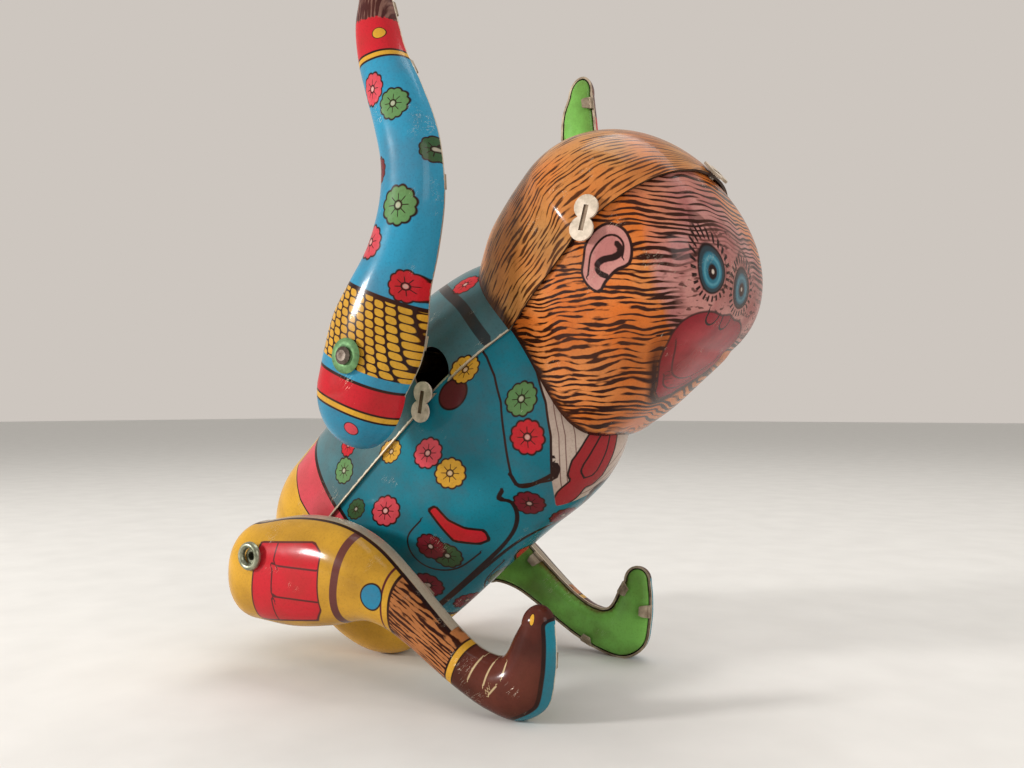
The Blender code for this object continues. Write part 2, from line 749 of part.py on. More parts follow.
def hip_works(parts, cutters):
    steel = finish("bare_tin", (0.50, 0.46, 0.40), 0.4, 1.0)
    zinc = finish("eyelet_metal", (0.34, 0.36, 0.28), 0.4, 0.9)
    wire = finish("spring_wire", (0.30, 0.30, 0.30), 0.3, 1.0)
    radius, bore = HIP_TUBE / 2, HIP_BORE / 2
    end = LEG_SEAM + LEG_DEPTH
    ring("hip_tube", bore, radius, -end, end, steel, parts, HIP)
    wall = torso_side(HIP_FRONT, HIP_ALONG) + BACK_OFFSET
    for side, hand in (("right", -1), ("left", 1)):
        foot, top = hand * (end + GAP), hand * (end + GAP + 2 * RIVET_RISE)
        lip = EYELET_RADIUS * 0.8
        profile = [(lip, top), (EYELET_RADIUS, (foot + top) / 2), (EYELET_RADIUS, foot),
                   (bore, foot), (bore, (foot + top) / 2), (bore + 0.3, top)]
        if hand < 0:
            profile = profile[::-1]
        turned("hip_eyelet_" + side, profile, zinc, parts, HIP)
        low, high = sorted((hand * (wall + GAP), hand * (LEG_FACE - GAP)))
        ring("hip_washer_" + side, radius + GAP, radius + 1.4, low, high, steel, parts, HIP)
    direction = crank_direction()
    crank(parts, cutters, steel, direction)
    return_spring(parts, wire, direction)
    rod = ANCHOR_ROD / 2
    reach = torso_side(ANCHOR_FRONT, ANCHOR_ALONG) - ANCHOR_PLAY
    profile = [(0, reach), (rod, reach), (rod, -reach), (0, -reach)]
    turned("spring_anchor", profile, steel, parts, body_point(ANCHOR_FRONT, 0, ANCHOR_ALONG))


def crank_direction():
    """The crank rests with its edge a gap short of the anchor rod, which stops the legs."""
    rod = body_point(ANCHOR_FRONT, 0, ANCHOR_ALONG) - HIP
    edge = CRANK_WIDTH * CRANK_TIP / 2
    clear = asin((edge + ANCHOR_ROD / 2 + GAP) / rod.length)
    turn = atan2(rod.z, rod.x) - clear
    return Vector((cos(turn), 0, sin(turn)))


def crank(parts, cutters, look, direction):
    """A plate on the hip tube, with the pin that the cord pulls."""
    across = SIDE.cross(direction)
    build = bmesh.new()
    radius = HIP_TUBE / 2 + GAP
    outline = []
    for i in range(13):
        angle = pi / 2 + pi * i / 12
        outline.append(direction * cos(angle) * CRANK_WIDTH / 2 + across * sin(angle) * CRANK_WIDTH / 2)
    for i in range(13):
        angle = -pi / 2 + pi * i / 12
        tip = CRANK_WIDTH * CRANK_TIP / 2
        outline.append(direction * (CRANK_REACH + cos(angle) * tip) + across * sin(angle) * tip)
    faces = []
    for place in (-CRANK_PLATE / 2, CRANK_PLATE / 2):
        faces.append([build.verts.new((HIP + point + SIDE * place) * MM) for point in outline])
    count = len(outline)
    for i in range(count):
        k = (i + 1) % count
        build.faces.new((faces[0][i], faces[0][k], faces[1][k], faces[1][i]))
    build.faces.new(faces[0][::-1])
    build.faces.new(faces[1])
    bmesh.ops.recalc_face_normals(build, faces=build.faces)
    plate = new_object("crank_plate", to_mesh(build, "crank_plate"), parts, look)
    for centre, size in ((HIP, radius), (HIP + direction * CRANK_REACH, CRANK_PIN / 2 + GAP)):
        hole = bmesh.new()
        side_cylinder(hole, centre, size, -2 * CRANK_PLATE, 2 * CRANK_PLATE)
        hole = cutter(new_object("crank_hole", to_mesh(hole, "crank_hole"), cutters), cutters)
        combine(plate, hole, "DIFFERENCE")
    half, head = CRANK_PIN_LENGTH / 2, CRANK_PIN * 0.9
    profile = [(0, half), (head, half), (head, half - WASHER), (CRANK_PIN / 2, half - WASHER)]
    profile += [(r, -place) for r, place in reversed(profile)]
    turned("crank_pin", profile, look, parts, HIP + direction * CRANK_REACH)


def return_spring(parts, look, direction):
    """A torsion coil round the hip tube, whose tails hug the crank's pin and the anchor rod."""
    per_turn = 12
    radius = HIP_TUBE / 2 + GAP + SPRING_WIRE / 2
    start = CRANK_PLATE / 2 + GAP + SPRING_WIRE / 2
    pin = direction * CRANK_REACH
    rod = body_point(ANCHOR_FRONT, 0, ANCHOR_ALONG) - HIP

    def tail(held, thickness, hand):
        """Direction and length of a tail that passes beside a round piece."""
        offset = radius + thickness / 2 + GAP + SPRING_WIRE / 2
        turn = atan2(held.z, held.x) + hand * asin(offset / held.length)
        return turn, Vector((cos(turn), 0, sin(turn))) * (hypot(held.length, offset) + SPRING_TAIL_PAST)

    pin_turn, pin_tail = tail(pin, CRANK_PIN, -1)
    rod_turn, rod_tail = tail(rod, ANCHOR_ROD, 1)
    first, last = pin_turn + pi / 2, rod_turn - pi / 2
    sweep = SPRING_TURNS * tau + (last - first) % tau
    steps = int(sweep / tau * per_turn)
    coil = []
    for i in range(steps + 1):
        angle = first + sweep * i / steps
        place = start + SPRING_PITCH * (sweep / tau) * i / steps
        coil.append(Vector((cos(angle), 0, sin(angle))) * radius + SIDE * place)
    points = [coil[0] + pin_tail] + coil + [coil[-1] + rod_tail]
    curve = bpy.data.curves.new("return_spring", "CURVE")
    curve.dimensions = "3D"
    curve.bevel_depth = SPRING_WIRE / 2 * MM
    curve.bevel_resolution = 1
    curve.use_fill_caps = True
    spline = curve.splines.new("POLY")
    spline.points.add(len(points) - 1)
    for slot, point in zip(spline.points, points):
        slot.co = (*((HIP + point) * MM), 1)
    curve.materials.append(look)
    parts.objects.link(bpy.data.objects.new("return_spring", curve))


def centre_on_floor(parts, root):
    """Stand the monkey on Z = 0 with the middle of its box over the origin."""
    bpy.context.view_layer.update()
    sight = bpy.context.evaluated_depsgraph_get()
    low, high = Vector((inf,) * 3), Vector((-inf,) * 3)
    for thing in parts.objects:
        if thing.type == "EMPTY":
            continue
        shown = thing.evaluated_get(sight)
        mesh = shown.to_mesh()
        for vert in mesh.vertices:
            point = shown.matrix_world @ vert.co
            low = Vector(map(min, low, point))
            high = Vector(map(max, high, point))
        shown.to_mesh_clear()
    root.location = (-(low.x + high.x) / 2, -(low.y + high.y) / 2, -low.z)


def build():
    clear_scene()
    parts = collection("climbing_monkey")
    cutters = collection("monkey_cutters")
    body_shells(parts, cutters)

    for side, hand, lean in (("right", -1, 0.0), ("left", 1, LEFT_ARM_LEAN)):
        forward = Vector((sin(lean), 0, cos(lean)))
        upward = Vector((cos(lean), 0, -sin(lean)))
        arm = limb("arm_" + side, hand, (ARM_START, ARM_RUNGS, ARM_END), SHOULDER, forward, upward,
                   ARM_SEAM, ARM_FACE, ARM_DEPTH, ARM_DISH, ARM_CLAWS)
        colors = ((0.03, 0.22, 0.36), (0.22, 0.50, 0.14))
        limb_shells(arm, colors, SHOULDER_AXLE / 2 + GAP, parts, cutters)
    turn = leg_rest_turn()
    forward = Vector((cos(turn), 0, sin(turn)))
    upward = Vector((-sin(turn), 0, cos(turn)))
    for side, hand in (("right", -1), ("left", 1)):
        leg = limb("leg_" + side, hand, (LEG_START, LEG_RUNGS, LEG_END), HIP, forward, upward,
                   LEG_SEAM, LEG_FACE, LEG_DEPTH, LEG_DISH, LEG_CLAWS)
        colors = ((0.55, 0.33, 0.05), (0.16, 0.40, 0.08))
        limb_shells(leg, colors, HIP_TUBE / 2 + GAP, parts, cutters)
    shoulder_works(parts)
    hip_works(parts, cutters)

    root = bpy.data.objects.new("monkey_root", None)
    parts.objects.link(root)
    for thing in list(parts.objects) + list(cutters.objects):
        if thing is not root:
            thing.parent = root
    centre_on_floor(parts, root)


build()
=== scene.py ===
"""Looks of the pressed-tin climbing monkey: smooth printed shells and turned fittings round its frame.

Lengths are in millimetres, and MM turns them into the scene's metres where a mesh is made.
The monkey faces +X, its right side is -Y and +Z is up.
The body has a frame of its own: "along" runs up its axis from the seat, "front" leaves the seam
plane on the belly's side, and "side" is the world's Y.
"""
import json
from math import acos, atan2, cos, degrees, pi, radians, sin, tau

import bmesh
import bpy
import numpy as np
from mathutils import Matrix, Vector


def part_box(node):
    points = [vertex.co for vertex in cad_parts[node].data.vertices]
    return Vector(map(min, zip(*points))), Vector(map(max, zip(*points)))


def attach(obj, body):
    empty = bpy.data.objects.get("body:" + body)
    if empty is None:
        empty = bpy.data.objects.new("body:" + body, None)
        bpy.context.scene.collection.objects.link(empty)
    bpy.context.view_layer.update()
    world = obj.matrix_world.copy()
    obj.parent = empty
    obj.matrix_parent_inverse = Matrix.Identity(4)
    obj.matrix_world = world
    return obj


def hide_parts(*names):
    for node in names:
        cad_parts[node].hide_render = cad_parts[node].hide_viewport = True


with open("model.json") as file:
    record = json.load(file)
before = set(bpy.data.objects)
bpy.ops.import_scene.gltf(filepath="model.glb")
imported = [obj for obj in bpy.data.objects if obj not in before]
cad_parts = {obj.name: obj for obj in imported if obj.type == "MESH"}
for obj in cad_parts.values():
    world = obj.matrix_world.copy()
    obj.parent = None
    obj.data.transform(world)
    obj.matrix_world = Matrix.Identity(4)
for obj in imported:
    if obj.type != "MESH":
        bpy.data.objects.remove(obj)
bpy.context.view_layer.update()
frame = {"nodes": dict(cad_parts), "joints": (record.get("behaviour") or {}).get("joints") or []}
MM = 0.001

# Sheet and clearances
TIN = 0.5
GAP = 0.3
LIP = 1.3

# Body, measured in its own frame
BODY_TILT = radians(39.7)
TORSO_LENGTH = 86.5
TORSO_HALF_WIDTH = 21.4
TORSO_FRONT = 31.9
TORSO_BACK = 23.4
SEAT_CAP = 20.0
HEAD_LENGTH = 46.3
HEAD_HALF_WIDTH = 26.1
HEAD_FRONT = 27.8
HEAD_BACK = 24.0
CROWN_CAP = 20.5
CROWN = TORSO_LENGTH + HEAD_LENGTH

# Axles, in the body's frame
SHOULDER_ALONG = 67.9
SHOULDER_FRONT = -8.3
SHOULDER_AXLE = 2.2
HIP_ALONG = 16.6
HIP_TUBE = 3.2

# Limbs
ARM_DISH = 2.3
ARM_DEPTH = 8.7
ARM_CLEAR = 2.2
LEG_DISH = 2.3
LEG_DEPTH = 9.2
LEG_CLEAR = 1.2
THIGH_BESIDE = 26.0
LEFT_ARM_LEAN = radians(10.5)
PLATE_INSET = TIN + GAP

# Lugs that lock the body shells, and the claws that fold over a limb's back plate
LUG_LOBE = 2.2
LUG_SPREAD = 1.9
LUG_STEM = 2.0
LUG_TURN = radians(52)
LUG_GROOVE = 0.9
GROOVE_LENGTH = 2.4 * LUG_SPREAD
LUG_ROOT = 0.8 * TIN
EAR_LUG_ABOVE_NECK = 28.4
SHOULDER_LUG_ALONG = 65.7
CLAW_WIDTH = 2.8
CLAW_REACH = 2.3
CLAW_HALF_SHEET = 0.38 * TIN
CLAW_NARROWING = 0.35
CLAW_SHARES = (0.15, 0.3, 0.5, 0.7, 0.85, 1.0)
PLATE_RISE = 0.4 * TIN

# The shoulders' bushes, and the openings of the back shell round them
BUSH_RADIUS = 2.3
OPENING_RADIUS = 4.3
OPENING_STRETCH = 1.15
OPENING_FRONT = -3.2
OPENING_ABOVE_AXLE = 3.0

# Shares of the torso's length, half width, front depth and back depth
TORSO_SHAPE = (
    (0.220, 0.690, 1.005, 0.871),
    (0.382, 0.794, 1.004, 0.885),
    (0.543, 0.890, 0.990, 0.920),
    (0.705, 0.969, 0.986, 0.973),
    (0.821, 1.000, 0.998, 1.000),
    (0.913, 0.956, 0.966, 0.949),
    (0.994, 0.855, 0.865, 0.859),
    (1.075, 0.717, 0.651, 0.679),
    (1.145, 0.479, 0.416, 0.389),
)
# Shares of the head's length above the neck, and of its half width, front depth and back depth
HEAD_SHAPE = (
    (-0.233, 0.180, 0.190, 0.120),
    (-0.167, 0.420, 0.610, 0.350),
    (-0.078, 0.560, 0.865, 0.535),
    (0.011, 0.655, 0.966, 0.718),
    (0.109, 0.728, 0.990, 0.832),
    (0.211, 0.802, 1.000, 0.915),
    (0.367, 0.886, 0.988, 0.965),
    (0.500, 0.958, 0.972, 0.978),
    (0.544, 1.000, 0.947, 0.966),
)
SEAT_POWERS = (2.2, 2.5, 2.0)
CROWN_POWERS = (2.2, 2.1, 2.0)
TORSO_SECTION = 2.1
HEAD_SECTION = 2.4
FACE_SECTION = 3.4
JAW_SECTION = 3.8
JAW_REACH = 0.45 * HEAD_LENGTH

# A limb's rungs go from one edge of its outline to the other, from the pivot's end outwards.
# Each is (edge A reach, across), (edge B reach, across) and the outer shell's share of its depth.
ARM_START = (-17.4, -4.4)
ARM_RUNGS = (
    ((-4.2, -11.8), (-7.3, 6.8), 1.00),
    ((2.3, -10.3), (-1.0, 10.5), 1.00),
    ((8.8, -8.0), (5.8, 12.0), 0.99),
    ((14.3, -4.2), (12.1, 12.6), 0.94),
    ((20.6, 0.0), (19.5, 14.4), 0.85),
    ((28.3, 2.4), (28.3, 15.7), 0.76),
    ((35.7, 2.7), (36.2, 15.3), 0.71),
    ((42.5, 1.2), (43.5, 13.7), 0.69),
    ((49.8, -1.1), (51.9, 10.1), 0.65),
    ((56.6, -3.2), (58.7, 6.6), 0.58),
    ((63.5, -4.2), (65.0, 4.6), 0.52),
    ((68.7, -3.4), (69.8, 3.1), 0.46),
)
ARM_END = (73.9, -0.5)
LEG_START = (-12.4, -4.0)
LEG_RUNGS = (
    ((-3.6, 6.4), (-4.6, -15.0), 1.00),
    ((5.7, 7.8), (5.6, -15.6), 1.00),
    ((14.5, 7.7), (15.5, -14.5), 1.00),
    ((22.2, 6.1), (22.2, -13.0), 0.98),
    ((29.3, 2.6), (26.9, -12.6), 0.93),
    ((35.8, -2.7), (31.8, -13.8), 0.83),
    ((41.6, -8.0), (36.8, -16.5), 0.73),
    ((46.7, -12.4), (42.2, -20.1), 0.65),
    ((50.9, -15.2), (47.6, -23.4), 0.60),
    ((53.8, -16.2), (53.6, -26.2), 0.58),
    ((55.4, -16.3), (60.0, -27.3), 0.58),
    ((56.7, -15.7), (65.0, -24.3), 0.54),
    ((57.8, -14.2), (66.6, -18.7), 0.48),
    ((58.8, -12.2), (67.0, -13.5), 0.42),
    ((60.4, -9.6), (66.8, -9.6), 0.36),
)
LEG_END = (63.8, -6.2)
LIMB_POWER = 2.3
# Where the claws grip: the rung, and which edge of the outline
ARM_CLAWS = ((1.5, 1), (5.5, 1), (8.5, 1), (2.5, 0), (6.5, 0), (10.5, 1))
LEG_CLAWS = ((1.5, 0), (5.5, 0), (8.5, 1), (13.5, 0), (3.5, 1), (12.5, 1))

# Fineness of the shown meshes
SHELL_COLUMNS = 120
TORSO_ROWS = 120
HEAD_ROWS = 84
LIMB_COLUMNS = 40
LIMB_STEPS = 8
CAP_ROWS = 14
ROUND_STEPS = 56
LOBE_STEPS = 24
HALVINGS = 30
# Rows crowd together toward the seat and toward the crown, the more the higher these powers are
SEAT_CROWDING = 1.6
CROWN_CROWDING = 1.8

AXIS = Vector((cos(BODY_TILT), 0, sin(BODY_TILT)))
FRONT = Vector((sin(BODY_TILT), 0, -cos(BODY_TILT)))
SIDE = Vector((0, 1, 0))
BACK_OFFSET = TIN + GAP
TORSO_REACH = TORSO_HALF_WIDTH + BACK_OFFSET
HEAD_REACH = HEAD_HALF_WIDTH + BACK_OFFSET
ARM_FACE = max(TORSO_REACH, HEAD_REACH) + ARM_CLEAR
ARM_SEAM = ARM_FACE + ARM_DISH


def joint_place(name):
    """Where the frame has a joint's axis."""
    return Vector(next(joint["pos_m"] for joint in frame["joints"] if joint["name"] == name)) / MM


SHOULDER = joint_place("shoulder_right")
HIP = joint_place("hips")
SEAT = SHOULDER - FRONT * SHOULDER_FRONT - AXIS * SHOULDER_ALONG


def body_point(front, side, along):
    return SEAT + FRONT * front + SIDE * side + AXIS * along


def hermite(stations, column, at):
    """A smooth curve through one column of a shape table, at a share of its length."""
    first, last = stations[0], stations[-1]
    if at <= first[0]:
        return first[column]
    if at >= last[0]:
        return last[column]
    index = next(i for i in range(len(stations) - 1) if at <= stations[i + 1][0])

    def slope(i):
        low, high = stations[max(i - 1, 0)], stations[min(i + 1, len(stations) - 1)]
        return (high[column] - low[column]) / (high[0] - low[0])

    here, there = stations[index], stations[index + 1]
    span = there[0] - here[0]
    t = (at - here[0]) / span
    return ((2 * t**3 - 3 * t**2 + 1) * here[column] + (t**3 - 2 * t**2 + t) * span * slope(index)
            + (3 * t**2 - 2 * t**3) * there[column] + (t**3 - t**2) * span * slope(index + 1))


def rounding(share, power):
    """The height of a rounded end, from 1 at its root to 0 at its tip."""
    return max(0.0, 1 - min(1.0, max(0.0, share)) ** power) ** (1 / power)


def oval(angle, halves, power):
    """Radius of a section, with the angle measured from the front and its halves side, front, back."""
    half_side, half_front, half_back = halves
    if min(halves) <= 0:
        return 0.0
    depth = half_front if cos(angle) >= 0 else half_back
    return (abs(cos(angle) / depth) ** power + abs(sin(angle) / half_side) ** power) ** (-1 / power)


def torso_halves(along):
    """Half width, front depth and back depth of the torso at a height, and nothing past its neck."""
    if along > TORSO_SHAPE[-1][0] * TORSO_LENGTH:
        return [0.0, 0.0, 0.0]
    at = max(along, SEAT_CAP) / TORSO_LENGTH
    caps = [rounding((SEAT_CAP - along) / SEAT_CAP, power) for power in SEAT_POWERS]
    sizes = (TORSO_HALF_WIDTH, TORSO_FRONT, TORSO_BACK)
    return [hermite(TORSO_SHAPE, i + 1, at) * sizes[i] * caps[i] for i in range(3)]


def head_halves(along):
    """The same for the head, which has nothing below its throat."""
    if along < TORSO_LENGTH + HEAD_SHAPE[0][0] * HEAD_LENGTH:
        return [0.0, 0.0, 0.0]
    root = CROWN - CROWN_CAP
    at = (min(along, root) - TORSO_LENGTH) / HEAD_LENGTH
    caps = [rounding((along - root) / CROWN_CAP, power) for power in CROWN_POWERS]
    sizes = (HEAD_HALF_WIDTH, HEAD_FRONT, HEAD_BACK)
    return [hermite(HEAD_SHAPE, i + 1, at) * sizes[i] * caps[i] for i in range(3)]


def torso_radius(angle, along):
    return oval(angle, torso_halves(along), TORSO_SECTION)


def head_radius(angle, along):
    """The face is squarer than the back of the head, and grows squarer toward the jaw."""
    power = HEAD_SECTION
    if cos(angle) > 0:
        down = max(0.0, min(1.0, 1.0 - (along - TORSO_LENGTH) / JAW_REACH))
        power = FACE_SECTION + (JAW_SECTION - FACE_SECTION) * down * down * (3 - 2 * down)
    return oval(angle, head_halves(along), power)


def torso_side(front, along):
    """How far to the side the torso's skin stands, beside a point of the middle plane."""
    side, depth_front, depth_back = torso_halves(along)
    share = abs(front) / (depth_front if front >= 0 else depth_back)
    return side * rounding(share, TORSO_SECTION)


LEG_FACE = torso_side(0, HIP_ALONG + THIGH_BESIDE) + BACK_OFFSET + LEG_CLEAR
LEG_SEAM = LEG_FACE + LEG_DISH


def neck_crease(angle):
    """How far along the head meets the torso, in the direction of an angle."""
    low, high = TORSO_LENGTH - 0.2 * HEAD_LENGTH, TORSO_LENGTH + 0.25 * HEAD_LENGTH
    for _ in range(HALVINGS):
        middle = (low + high) / 2
        if torso_radius(angle, middle) > head_radius(angle, middle):
            low = middle
        else:
            high = middle
    return low


WHOLE_DEGREES = range(-180, 181)
CREASES = [neck_crease(radians(angle)) for angle in WHOLE_DEGREES]


def crease_at(angle):
    """The neck's crease at an angle, or an array of them, in degrees."""
    return np.interp(angle, WHOLE_DEGREES, CREASES)


def skin_point(angle, along):
    """A point on the body's outside. Angle 0 is the front, a right angle the monkey's left side."""
    radius = max(torso_radius(angle, along), head_radius(angle, along))
    return body_point(radius * cos(angle), radius * sin(angle), along)


def skin_normal(angle, along):
    step = 0.02
    around = skin_point(angle + step, along) - skin_point(angle - step, along)
    up = skin_point(angle, along + step) - skin_point(angle, along - step)
    return around.cross(up).normalized()


def new_object(name, data):
    thing = bpy.data.objects.new(name, data)
    bpy.context.scene.collection.objects.link(thing)
    return thing


def built(name, build, material=0):
    """An object from a mesh being built, with one material place on all its faces."""
    for face in build.faces:
        face.material_index = material
    mesh = bpy.data.meshes.new(name)
    build.to_mesh(mesh)
    build.free()
    return new_object(name, mesh)


def tube(rings, closed=False):
    """A tube through rings of points. It has flat ends, or is closed on itself."""
    build = bmesh.new()
    grid = [[build.verts.new(point * MM) for point in ring] for ring in rings]
    count = len(grid[0])
    for low, high in zip(grid, grid[1:] + grid[:1] if closed else grid[1:]):
        for i in range(count):
            k = (i + 1) % count
            build.faces.new((low[i], low[k], high[k], high[i]))
    if not closed:
        build.faces.new(grid[0][::-1])
        build.faces.new(grid[-1])
    bmesh.ops.recalc_face_normals(build, faces=build.faces)
    return build


def sheet(rows, facing):
    """An open sheet from rows of points, turned to face one way. A row of one point is a pole."""
    build = bmesh.new()
    grid = [[build.verts.new(point * MM) for point in row] for row in rows]
    for low, high in zip(grid, grid[1:]):
        for i in range(max(len(low), len(high)) - 1):
            corners = [low[min(i, len(low) - 1)], low[min(i + 1, len(low) - 1)],
                       high[min(i + 1, len(high) - 1)], high[min(i, len(high) - 1)]]
            build.faces.new(list(dict.fromkeys(corners)))
    build.normal_update()
    if sum(face.normal.dot(facing) * face.calc_area() for face in build.faces) < 0:
        bmesh.ops.reverse_faces(build, faces=build.faces)
        build.normal_update()
    return build


def thicken(thing):
    """Give an open sheet its thickness, with the second material inside and the third on the cut edge."""
    solid = thing.modifiers.new("sheet", "SOLIDIFY")
    solid.thickness = TIN * MM
    solid.offset = -1
    solid.use_even_offset = True
    solid.use_quality_normals = True
    solid.material_offset = INSIDE
    solid.material_offset_rim = EDGE


def combine(thing, other, operation):
    cut = thing.modifiers.new(operation.lower(), "BOOLEAN")
    cut.operation = operation
    cut.solver = "EXACT"
    cut.object = other


def smooth(mesh, sharp):
    """Shade a mesh smooth, but for edges that are sharper than so many degrees."""
    mesh.shade_smooth()
    mesh.set_sharp_from_angle(angle=radians(sharp))


def settle(thing, helpers=()):
    """Apply an object's modifiers, remove what they used, and shade it smooth."""
    sight = bpy.context.evaluated_depsgraph_get()
    mesh = bpy.data.meshes.new_from_object(thing.evaluated_get(sight), depsgraph=sight)
    thing.modifiers.clear()
    thing.data = mesh
    for helper in helpers:
        bpy.data.objects.remove(helper, do_unlink=True)
    smooth(mesh, 35)


# Material places in every shell: the print comes first, then the plain inside and the cut edge.
# The body shells have two more, for the head's print and for the lugs.
INSIDE = 1
EDGE = 2
HEAD = 3
LUG = 4


def body_rows(start, stop):
    """Rows of points up the body between two angles, with a row on the neck's crease."""
    angles = [start + (stop - start) * i / SHELL_COLUMNS for i in range(SHELL_COLUMNS + 1)]
    creases = [neck_crease(angle) for angle in angles]
    rows = [[body_point(0, 0, 0)]]
    for i in range(1, TORSO_ROWS + 1):
        share = (i / TORSO_ROWS) ** SEAT_CROWDING
        rows.append([skin_point(angle, crease * share) for angle, crease in zip(angles, creases)])
    for i in range(1, HEAD_ROWS):
        share = 1 - (1 - i / HEAD_ROWS) ** CROWN_CROWDING
        rows.append([skin_point(angle, crease + (CROWN - crease) * share)
                     for angle, crease in zip(angles, creases)])
    rows.append([body_point(0, 0, CROWN)])
    return rows


def back_sheet():
    """The back stands off the front by a sheet and a gap, and its lip laps over the seam."""
    build = sheet(body_rows(pi / 2, 3 * pi / 2), -FRONT)
    rim = {vert for edge in build.edges if edge.is_boundary for vert in edge.verts}
    moves = {}
    for vert in build.verts:
        normal = vert.normal.copy()
        if vert in rim:
            normal = (normal - FRONT * normal.dot(FRONT)).normalized()
        moves[vert] = normal * vert.calc_shell_factor() * BACK_OFFSET * MM
    for vert, move in moves.items():
        vert.co += move
    edges = [edge for edge in build.edges if edge.is_boundary]
    grown = bmesh.ops.extrude_edge_only(build, edges=edges)
    lip = [item for item in grown["geom"] if isinstance(item, bmesh.types.BMVert)]
    bmesh.ops.translate(build, verts=lip, vec=FRONT * LIP * MM)
    build.normal_update()
    return build


def lug_frames():
    """Base on the seam, outward normal, and the sheet's two directions, with the lug's turn."""
    frames = []
    for hand in (-1, 1):
        for along in (TORSO_LENGTH + EAR_LUG_ABOVE_NECK, SHOULDER_LUG_ALONG):
            angle = hand * pi / 2
            normal = skin_normal(angle, along)
            normal = (normal - FRONT * normal.dot(FRONT)).normalized()
            frames.append((skin_point(angle, along), normal, normal.cross(FRONT), hand * LUG_TURN))
    frames.append((body_point(0, 0, CROWN), AXIS.copy(), AXIS.cross(FRONT), radians(90)))
    return frames


def block(name, centre, directions, sizes, material=0):
    """A box with its own directions."""
    build = bmesh.new()
    made = bmesh.ops.create_cube(build, size=1.0)
    turn = Matrix(directions).transposed().to_4x4()
    scale = Matrix.Diagonal((*[size * MM for size in sizes], 1))
    place = Matrix.Translation(centre * MM)
    bmesh.ops.transform(build, matrix=place @ turn @ scale, verts=made["verts"])
    return built(name, build, material)


def lobes(middle, directions):
    """A flat plate of the sheet, in the outline of two overlapping round lobes."""
    across, other, normal = directions
    reach = pi - acos(LUG_SPREAD / LUG_LOBE)
    outline = []
    for hand in (1, -1):
        for i in range(LOBE_STEPS):
            turn = reach * (2 * i / LOBE_STEPS - 1)
            out = across * (LUG_SPREAD + LUG_LOBE * cos(turn)) + other * LUG_LOBE * sin(turn)
            outline.append(out * hand)
    rings = [[middle + point + normal * rise for point in outline] for rise in (-TIN / 2, TIN / 2)]
    return built("lug_lobes", tube(rings))


def lug(spec):
    """A stem out of the front shell's rim, with two lobes bent down flat on the back shell."""
    base, normal, along, turn = spec
    lift = BACK_OFFSET + GAP
    root = base + FRONT * LIP / 2
    stem_low, stem_high = -LUG_ROOT, lift + TIN / 2
    centre = root + normal * (stem_low + stem_high) / 2
    stem = block("lug_stem", centre, (FRONT, along, normal), (TIN, LUG_STEM, stem_high - stem_low))
    across = FRONT * cos(turn) + along * sin(turn)
    directions = (across, normal.cross(across), normal)
    head = lobes(root + normal * (lift + TIN / 2), directions)
    combine(stem, head, "UNION")
    settle(stem, [head])
    for face in stem.data.polygons:
        face.material_index = LUG
    groove = root + normal * (lift + TIN)
    cutter = block("lug_groove", groove, directions, (GROOVE_LENGTH, LUG_GROOVE, TIN), INSIDE)
    combine(stem, cutter, "DIFFERENCE")
    settle(stem, [cutter])
    return stem


def side_cylinder(name, centre, radius, low, high, stretch=1.0):
    """A cutter along Y between two distances from the middle plane, longer along the front."""
    build = bmesh.new()
    made = bmesh.ops.create_cone(build, cap_ends=True, segments=ROUND_STEPS, radius1=radius * MM,
                                 radius2=radius * MM, depth=(high - low) * MM)
    turn = Matrix((FRONT, AXIS, FRONT.cross(AXIS))).transposed().to_4x4()
    middle = Vector((centre.x, (low + high) / 2, centre.z)) * MM
    grow = Matrix.Diagonal((stretch, 1, 1, 1))
    bmesh.ops.transform(build, matrix=Matrix.Translation(middle) @ turn @ grow, verts=made["verts"])
    return built(name, build, EDGE)


def body_shells(looks):
    """The two body shells, smooth, with their lugs, slots and holes."""
    front = built("front_shell_print", sheet(body_rows(-pi / 2, pi / 2), FRONT))
    back = built("back_shell_print", back_sheet())
    for shell, names in ((front, ("jacket_front", "face")), (back, ("jacket_back", "hair"))):
        for name in (names[0], "inside", "edge", names[1], "lug"):
            shell.data.materials.append(looks[name])
        thicken(shell)
    helpers = []
    for spec in lug_frames():
        helpers.append(lug(spec))
        combine(front, helpers[-1], "UNION")
    wide = TORSO_REACH + BACK_OFFSET
    holes = side_cylinder("hip_holes", HIP, HIP_TUBE / 2 + GAP, -wide, wide)
    combine(front, holes, "DIFFERENCE")
    combine(back, holes, "DIFFERENCE")
    bores = side_cylinder("bores", SHOULDER, BUSH_RADIUS + GAP, -wide, wide)
    combine(back, bores, "DIFFERENCE")
    place = body_point(OPENING_FRONT, 0, SHOULDER_ALONG + OPENING_ABOVE_AXLE)
    notches = side_cylinder("notches", place, OPENING_RADIUS, -wide, wide, OPENING_STRETCH)
    combine(back, notches, "DIFFERENCE")
    settle(front)
    settle(back, helpers + [holes, bores, notches])
    for shell, node in ((front, "front_shell"), (back, "back_shell")):
        head_faces(shell)
        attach(shell, "torso")
        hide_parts(node)
    return front, back


def head_faces(shell):
    """Printed faces above the neck's crease take the head's material."""
    for face in shell.data.polygons:
        if face.material_index:
            continue
        away = Vector(face.center) / MM - SEAT
        angle = degrees(atan2(away.y, away.dot(FRONT)))
        if away.dot(AXIS) > crease_at(angle):
            face.material_index = HEAD


def limb_edges(limb, at):
    """The two edges of a limb's outline at a rung number, which may lie between rungs."""
    rows = limb["rows"]
    a = Vector((hermite(rows, 1, at), hermite(rows, 2, at)))
    b = Vector((hermite(rows, 3, at), hermite(rows, 4, at)))
    return a, b, hermite(rows, 5, at)


